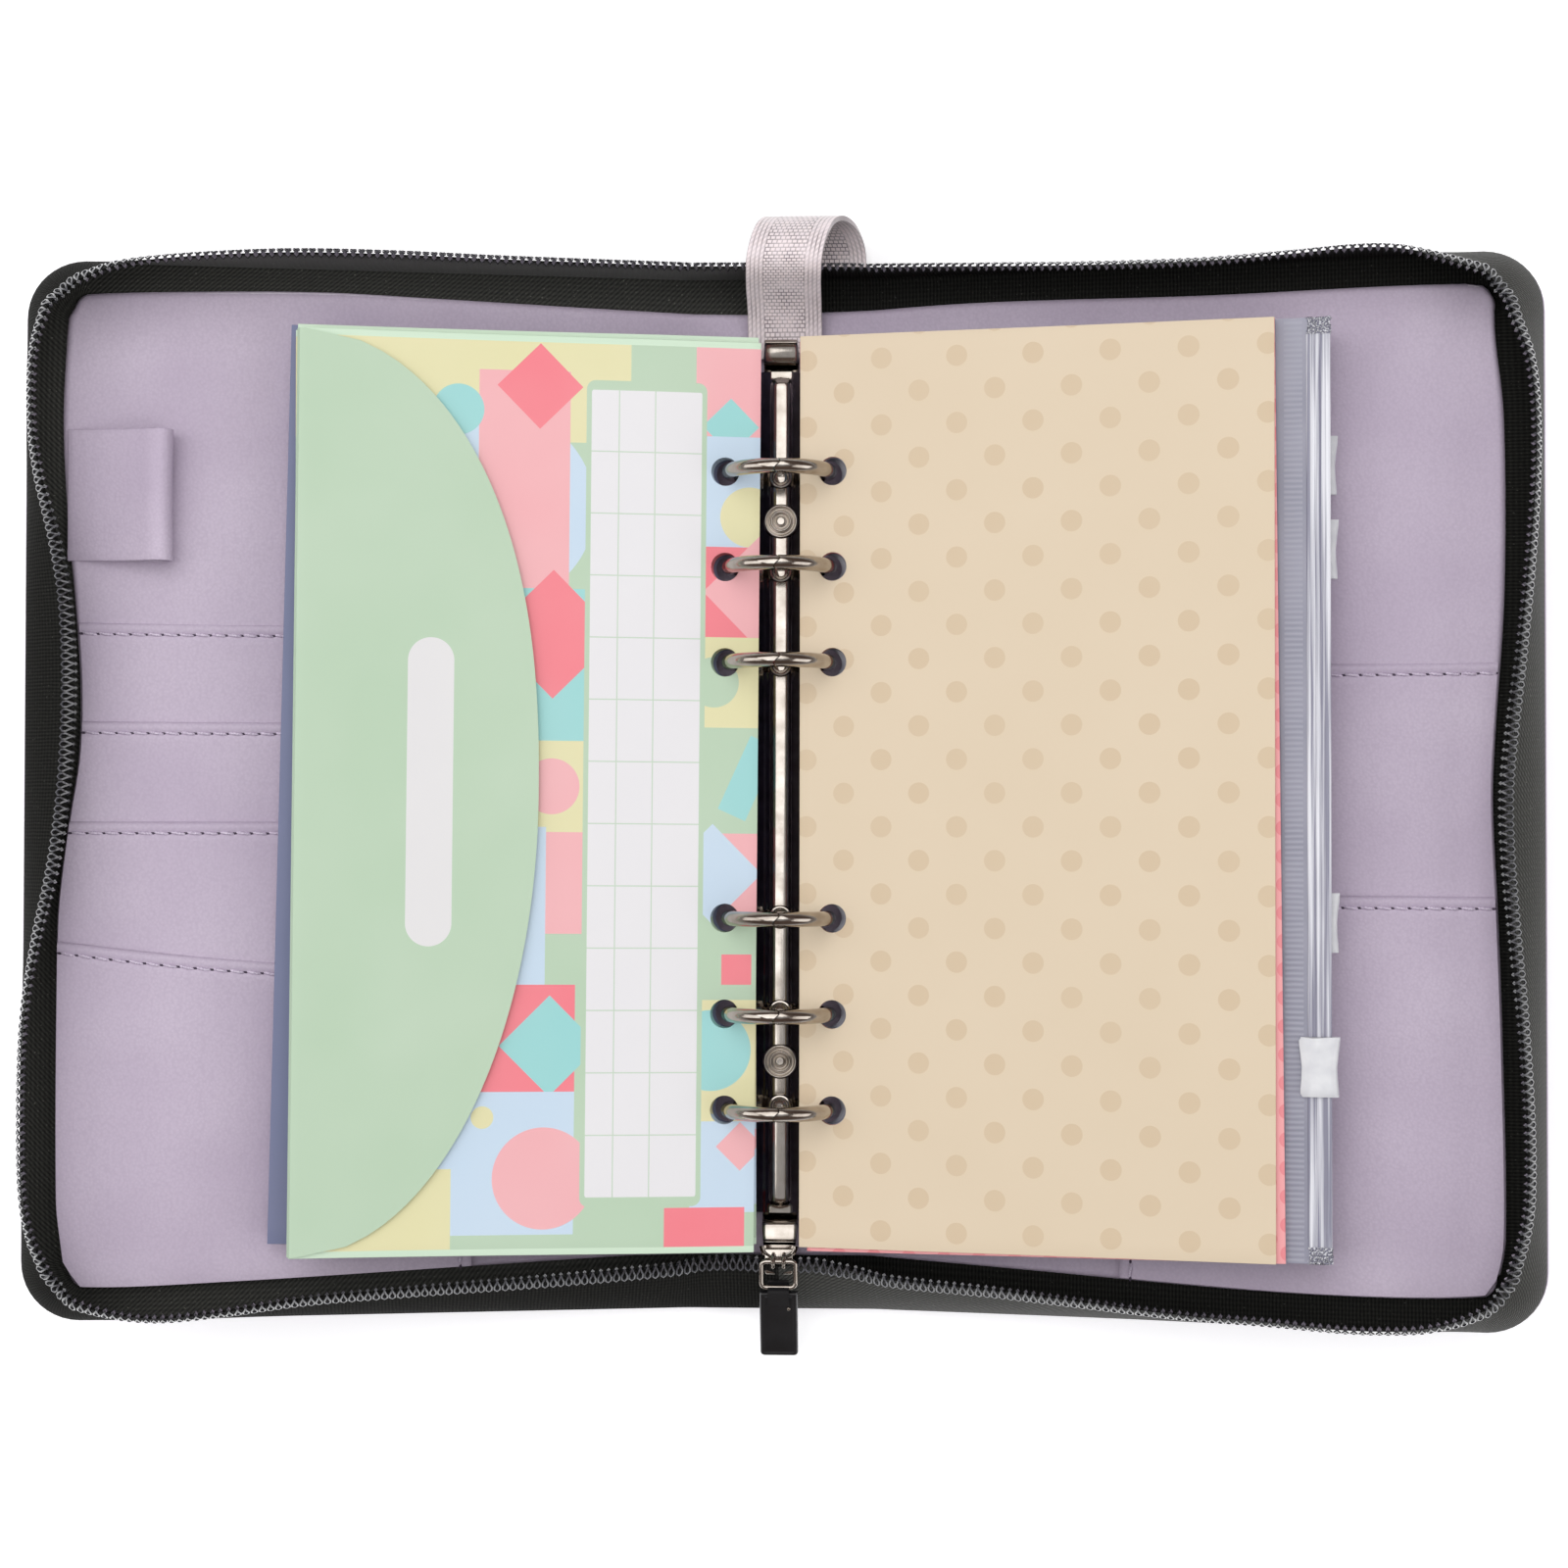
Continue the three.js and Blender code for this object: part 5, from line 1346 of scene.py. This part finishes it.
flap = {"reach": 46.3, "thickness": 0.32, "depth": 0.4, "half": 90.2, "top": 2.4, "bottom": 2.03, "lift": 0.5,
        "fold": [(93.6, 1.9), (94.7, 1.88), (95.15, 1.55), (95.25, 1.1), (95.15, 0.68), (94.8, 0.46), (94.2, 0.4)]}
topLie = {"turn": 0.38, "shift": (0, -1.2)}  # the top envelope hangs a little askew on its rings
envelope = flatSheet("envelope1Body", 95.1, 0.85, round_=0.15)
punch(envelope, 0.95, leaf["hole"], **topLie)
warpLeaf(envelope, -1, 11, 0.95, **topLie)


def flapPlace(u, v):
    y = mixed(-flap["half"], flap["half"], v)
    share = abs(y) / flap["half"]
    tip = flap["fold"][-1][0] - flap["reach"] * math.sqrt(max(1 - share ** flap["top" if y > 0 else "bottom"], 0))
    steps = len(flap["fold"])
    k = u * (steps + 29)
    if k < steps:
        r, depth = flap["fold"][int(k)]
        return r, y, -depth
    return mixed(flap["fold"][-1][0], tip - 0.3, (k - steps + 1) / 30), y, -flap["depth"]


def flapLift(r, y):
    return flap["lift"] * max((94 - r) / 46, 0) ** 1.6


cover = gridSheet("envelope1Flap", len(flap["fold"]) + 29, 90, flapPlace)
modify(cover, "SOLIDIFY", thickness=flap["thickness"] * mm, offset=0)
warpLeaf(cover, -1, 11, 0, liftAt=flapLift, **topLie)
outward(cover, 0.000001)
for piece, material in ((envelope, frontPrint), (cover, greenFlap)):
    smooth(piece, 50)
    piece.data.materials.clear()
    piece.data.materials.append(material)
envelope = joinPieces("envelope1", [envelope, cover])
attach(envelope, "top_envelope")
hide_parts("envelope_1")

# right side: the dotted divider over a pink and a printed envelope
layLeaf("dottedDivider", "divider", "divider", 1, 11, 0.55, 97.3, 0.45, creamCard, "cream_card", round_=0.08)
layLeaf("envelope5", "envelope_5", "back_leaves", 1, 11, 1.4, 97.6, 0.5, pinkPaper, "pink_paper", turn=0.55,
        shift=(0.6, -0.9))
layLeaf("envelope6", "envelope_6", "back_leaves", 1, 11, 2.3, 95.1, 0.5, innerPrint, "printed_paper")
print("leaves are in")


# Zip pouches: clear film welded to a ribbed track, its ends crushed by the welder, each with a milky slider

pouches = {"slopes": (11, 10, 9, 8), "depths": (3.175, 4.025, 4.875, 5.725), "film": 0.42, "edge": 103.4,
           "sliders": (-53, -25.6, 46.4, 63), "crimp": 3.0, "jitter": 0.3,
           "track": [(103.1, 0.1), (103.3, 0.4), (103.7, 0.5), (104.1, 0.36), (104.3, 0.16), (104.7, 0.16),
                     (104.9, 0.4), (105.3, 0.5), (105.7, 0.38), (105.9, 0.18), (106.3, 0.2), (106.6, 0.42),
                     (107.0, 0.5), (107.4, 0.4), (107.7, 0.2)]}
slideGrip = {"length": 11.4, "mid": 105.4, "section": [
    (102.1, 0.72), (101.8, 0.95), (102.1, 1.12), (104.2, 1.18), (107.6, 1.15), (108.6, 0.95), (109.0, 0.45),
    (109.0, -0.45), (108.6, -0.95), (107.6, -1.15), (104.2, -1.18), (102.1, -1.12), (101.8, -0.95), (102.1, -0.72),
    (107.9, -0.68), (108.2, -0.35), (108.2, 0.35), (107.9, 0.68)]}


def closeEnds(piece):
    outward(piece, 0.00001)
    selectWhere(piece, lambda edge: False, "EDGE")
    bpy.ops.mesh.select_non_manifold()
    bpy.ops.mesh.edge_face_add()
    bpy.ops.object.mode_set(mode="OBJECT")
    outward(piece, 0.000001)


def buildTrack(name):
    # one closed section drawn along the pouch; the welded ends are squeezed flat and frayed
    loop = pouches["track"] + [(r, -h) for r, h in reversed(pouches["track"])]
    half = leaf["half"]
    ends = [half - pouches["crimp"] * i / 8 for i in range(8)]
    stations = [-y for y in ends] + [mixed(-half + 3, half - 3, i / 48) for i in range(49)] + ends[::-1]

    def place(u, v):
        r, h = loop[round(u * len(loop)) % len(loop)]
        return r, stations[round(v * (len(stations) - 1))], h

    track = gridSheet(name, len(loop), len(stations) - 1, place)
    closeEnds(track)
    for point in track.data.vertices:
        crushed = ease((abs(point.co.y) / mm - half + pouches["crimp"]) / 0.8)
        point.co.z *= mixed(1, 0.4, crushed)
        nudge = [chance.uniform(-1, 1) * pouches["jitter"] * crushed * mm for _ in range(3)]
        point.co += Vector((nudge[0] * 0.8, nudge[1] * 0.5, nudge[2]))
    return track


def buildGrip(name, y):
    # a moulded clip: wide at its notched upper end, waisted, and rounded at both ends
    steps = [0, 0.02, 0.06, 0.14, 0.3, 0.5, 0.7, 0.86, 0.94, 0.98, 1]

    def place(u, v):
        share = steps[round(v * (len(steps) - 1))]
        r, h = slideGrip["section"][round(u * len(slideGrip["section"])) % len(slideGrip["section"])]
        out = (r - slideGrip["mid"]) / 3.6
        flare = 0.25 * ease((share - 0.6) / 0.4) - 0.3 * ease(1 - abs(share - 0.45) / 0.4)
        rounding = ease(min(share, 1 - share) / 0.06)
        wide = 1 if abs(h) < 0.8 and r > 102.8 else mixed(0.9, 1, rounding)
        across = slideGrip["mid"] + out * 3.6 * wide + (flare * out if abs(out) > 0.6 else 0)
        notch = 0.45 * share * math.cos(out * math.pi / 1.1) * (1 if abs(h) > 0.65 else 0)
        return across, y + (share - 0.5) * slideGrip["length"] - max(notch, 0), h * (mixed(0.82, 1, rounding)
                                                                                     if abs(h) > 0.8 else 1)

    grip = gridSheet(name, len(slideGrip["section"]), len(steps) - 1, place)
    closeEnds(grip)
    return grip


for i, (slope, depth, y) in enumerate(zip(pouches["slopes"], pouches["depths"], pouches["sliders"])):
    film = flatSheet(f"zipPouch{i + 1}", pouches["edge"], pouches["film"], round_=0.05)
    punch(film, depth, leaf["hole"])
    film.data.transform(Matrix.Translation((0, 0, pouches["film"] / 2 * mm)))
    warpLeaf(film, 1, slope, depth)
    film.data.materials.clear()
    film.data.materials.append(pouchFilm if i < 2 else lowFilm)
    track = buildTrack("pouchTrack")
    warpLeaf(track, 1, slope, depth)
    outward(track, 0.000001)
    smooth(track, 35)
    track.data.materials.append(trackFilm)
    film = joinPieces(f"zipPouch{i + 1}", [film, track])
    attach(film, "back_leaves")
    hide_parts(f"zip_pouch_{i + 1}")
    grip = buildGrip(f"pouchSlider{i + 1}", y)
    warpLeaf(grip, 1, slope, depth)
    outward(grip, 0.000001)
    smooth(grip, 50)
    dress(grip, [milkyPlastic], body=f"pouch_slider_{i + 1}", replaced=(f"pouch_slider_{i + 1}",))
print("pouches are in")


# Zip slider, its wire bail and the leather tab

pull = {"inner": -90.8, "plate": (3.55, 2.7), "top": 12.9, "low": 10.4, "rim": [
            (0, -0.5), (0.3, -0.52), (0.6, -0.46), (0.76, -0.3), (0.84, 0), (0.9, 0.1), (0.96, 0.02), (1, -0.25)],
        "prong": [(-92.3, 11.6), (-92.45, 13.2), (-92.8, 14.3), (-93.7, 14.9), (-94.6, 14.3), (-95, 13.2), (-95.2, 11.6)]}


def buildZipSlider():
    # a dished half-round wing with a raised rim, two bridge prongs and the body they stand on
    halfX, halfY = pull["plate"]

    def place(u, v):
        turn = math.pi * (1 + u)
        out = v * (len(pull["rim"]) - 1)
        share, lift = pull["rim"][round(out)]
        back = halfY * share * math.sin(turn)
        tilt = (back + halfY) * 0.5 if share < 0.8 else 0
        return halfX * share * math.cos(turn), pull["inner"] + back, pull["top"] + lift - tilt

    wing = gridSheet("zipSlider", 32, len(pull["rim"]) - 1, place)
    outward(wing, 0.000001)
    modify(wing, "SOLIDIFY", thickness=1.1 * mm, offset=-1)
    deselectAll()
    bpy.ops.mesh.primitive_cube_add(size=1, location=(0, -0.0939, 0.01145))
    block = newest("sliderBody")
    block.scale = (6.4 * mm, 5.2 * mm, 2.1 * mm)
    applyPlace(block)
    for point in block.data.vertices:
        point.co.x *= 0.86 if point.co.y < -0.094 else 1
    modify(block, "BEVEL", width=0.45 * mm, segments=3)
    prongs = [wireAlong("prong", [(x, y, z) for y, z in pull["prong"]], 0.42) for x in (-1.05, 1.05)]
    slider = joinPieces("zipSlider", [wing, block, *prongs])
    smooth(slider, 50)
    dress(slider, [nickel], body="root", replaced=("zip_slider",))


def hung(piece, pivot, droop):
    # built flat with its pivot at the origin, then hung at its droop
    piece.data.transform(Matrix.Translation(Vector(pivot) * mm) @ Matrix.Rotation(math.radians(droop), 4, "X"))


def buildBail():
    half, reachDown, corner = 3.4, 5.2, 1.0
    path = []
    for cx, cy, start in ((half - corner, -corner * 0.6, 90), (half - corner, corner - reachDown, 0),
                          (corner - half, corner - reachDown, -90), (corner - half, -corner * 0.6, 180)):
        for i in range(6):
            turn = math.radians(start - 18 * i)
            path.append((cx + corner * math.cos(turn), cy + corner * (0.6 if cy > -2 else 1) * math.sin(turn), 0))
    bail = wireAlong("zipBail", path, 0.5, cyclic=True, sides=4)
    hung(bail, (0, -93.7, 13.85), 5)
    smooth(bail, 60)
    dress(bail, [nickel], body="zip_bail", replaced=("zip_bail",))


buildZipSlider()
buildBail()

# the tab wraps the bail, and a pressed line runs inside its cut edge
tab = {"half": 3.8, "start": -0.95, "end": -15.1, "thick": 0.74, "corner": 0.9, "pivot": (0, -98.88, 13.397), "droop": 20,
       "marks": [0, 0.04, 0.15, 0.35, 0.55, 0.75, 0.95, 1.2, 1.8, 3.0]}


def tabLevel(inset):
    rounding = math.sqrt(max(1 - (1 - min(inset / 0.35, 1)) ** 2, 0))
    return tab["thick"] * (0.35 + 0.65 * rounding) - 0.1 * math.exp(-((inset - 0.75) / 0.14) ** 2)


def tabPlace(u, v):
    # u and v run over both faces' grids; the insets crowd towards the edges
    marks = tab["marks"]
    xs = [m - tab["half"] for m in marks] + [0] + [tab["half"] - m for m in reversed(marks)]
    length = tab["start"] - tab["end"]
    ys = [tab["end"] + m for m in marks] + [tab["end"] + mixed(3, length - 3, i / 12) for i in range(1, 12)]
    ys += [tab["start"] - m for m in reversed(marks)]
    x, y = xs[round(u * (len(xs) - 1))], ys[round(v * (len(ys) - 1))]
    inset = min(tab["half"] - abs(x), y - tab["end"], tab["start"] - y)
    cornerX, cornerY = abs(x) - (tab["half"] - tab["corner"]), tab["end"] + tab["corner"] - y
    if cornerX > 0 and cornerY > 0:
        far = math.hypot(cornerX, cornerY)
        inset = tab["corner"] - max(cornerX, cornerY)
        pull_ = max(cornerX, cornerY) / far
        x = math.copysign(tab["half"] - tab["corner"] + cornerX * pull_, x)
        y = tab["end"] + tab["corner"] - cornerY * pull_
    return x, y, tabLevel(inset)


def buildTab():
    columns, rows = 2 * len(tab["marks"]), 2 * len(tab["marks"]) + 10
    faces = [gridSheet("pullTab", columns, rows, tabPlace),
             gridSheet("pullTab", columns, rows, lambda u, v: (lambda p: (p[0], p[1], -p[2]))(tabPlace(u, v)))]
    body = joinPieces("pullTab", faces)
    selectWhere(body, lambda edge: False, "EDGE")
    bpy.ops.mesh.select_non_manifold()
    bpy.ops.mesh.bridge_edge_loops()
    bpy.ops.object.mode_set(mode="OBJECT")
    neck = gridSheet("tabNeck", 22, 1, lambda u, v: (
        (v - 0.5) * 4.2, -0.02 + 1.28 * math.cos(math.pi * (1.5 - 2 * u)) if 0.25 <= u <= 0.75 else -3.4 * abs(
            2 * abs(u - 0.5) - 0.5) / 0.5, math.copysign(min(1.28 * abs(math.sin(math.pi * (1.5 - 2 * u)))
                                                            if 0.25 <= u <= 0.75 else 1.28, 1.28), 0.5 - u)))
    modify(neck, "SOLIDIFY", thickness=0.4 * mm, offset=0)
    body = joinPieces("pullTab", [body, neck])
    outward(body, 0.000001)
    smooth(body, 40)
    body.data.materials.clear()
    body.data.materials.append(blackLeather)
    body.data.materials.append(edgePaintHighlight)
    # the tab's sides and end take the lighter edge paint, a painted highlight along the cut edge
    rim = tab["half"] - 0.3
    for face in body.data.polygons:
        centre = face.center / mm
        face.material_index = int(centre.y < tab["start"] and (abs(centre.x) > rim or centre.y < tab["end"] + 0.3))
    stud = turned("tabStud", [(0, 1.0), (0.22, 0.98), (0.34, 0.9), (0.4, 0.72), (0.4, 0.5)], 16, (2.0, -4.4))
    smooth(stud, 60)
    stud.data.materials.append(nickel)
    body = joinPieces("pullTab", [body, stud])
    hung(body, tab["pivot"], tab["droop"])
    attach(body, "zip_pull_tab")
    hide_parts("zip_pull_tab")


buildTab()
print("zip pull is in")

# hidden stiffeners and sprung plates keep their CAD shapes
for name in ("front_cover_board", "back_cover_board", "spine_board"):
    dressNode(name, greyBoard)
for name in ("hinge_plate_left", "hinge_plate_right"):
    dressNode(name, nickel)
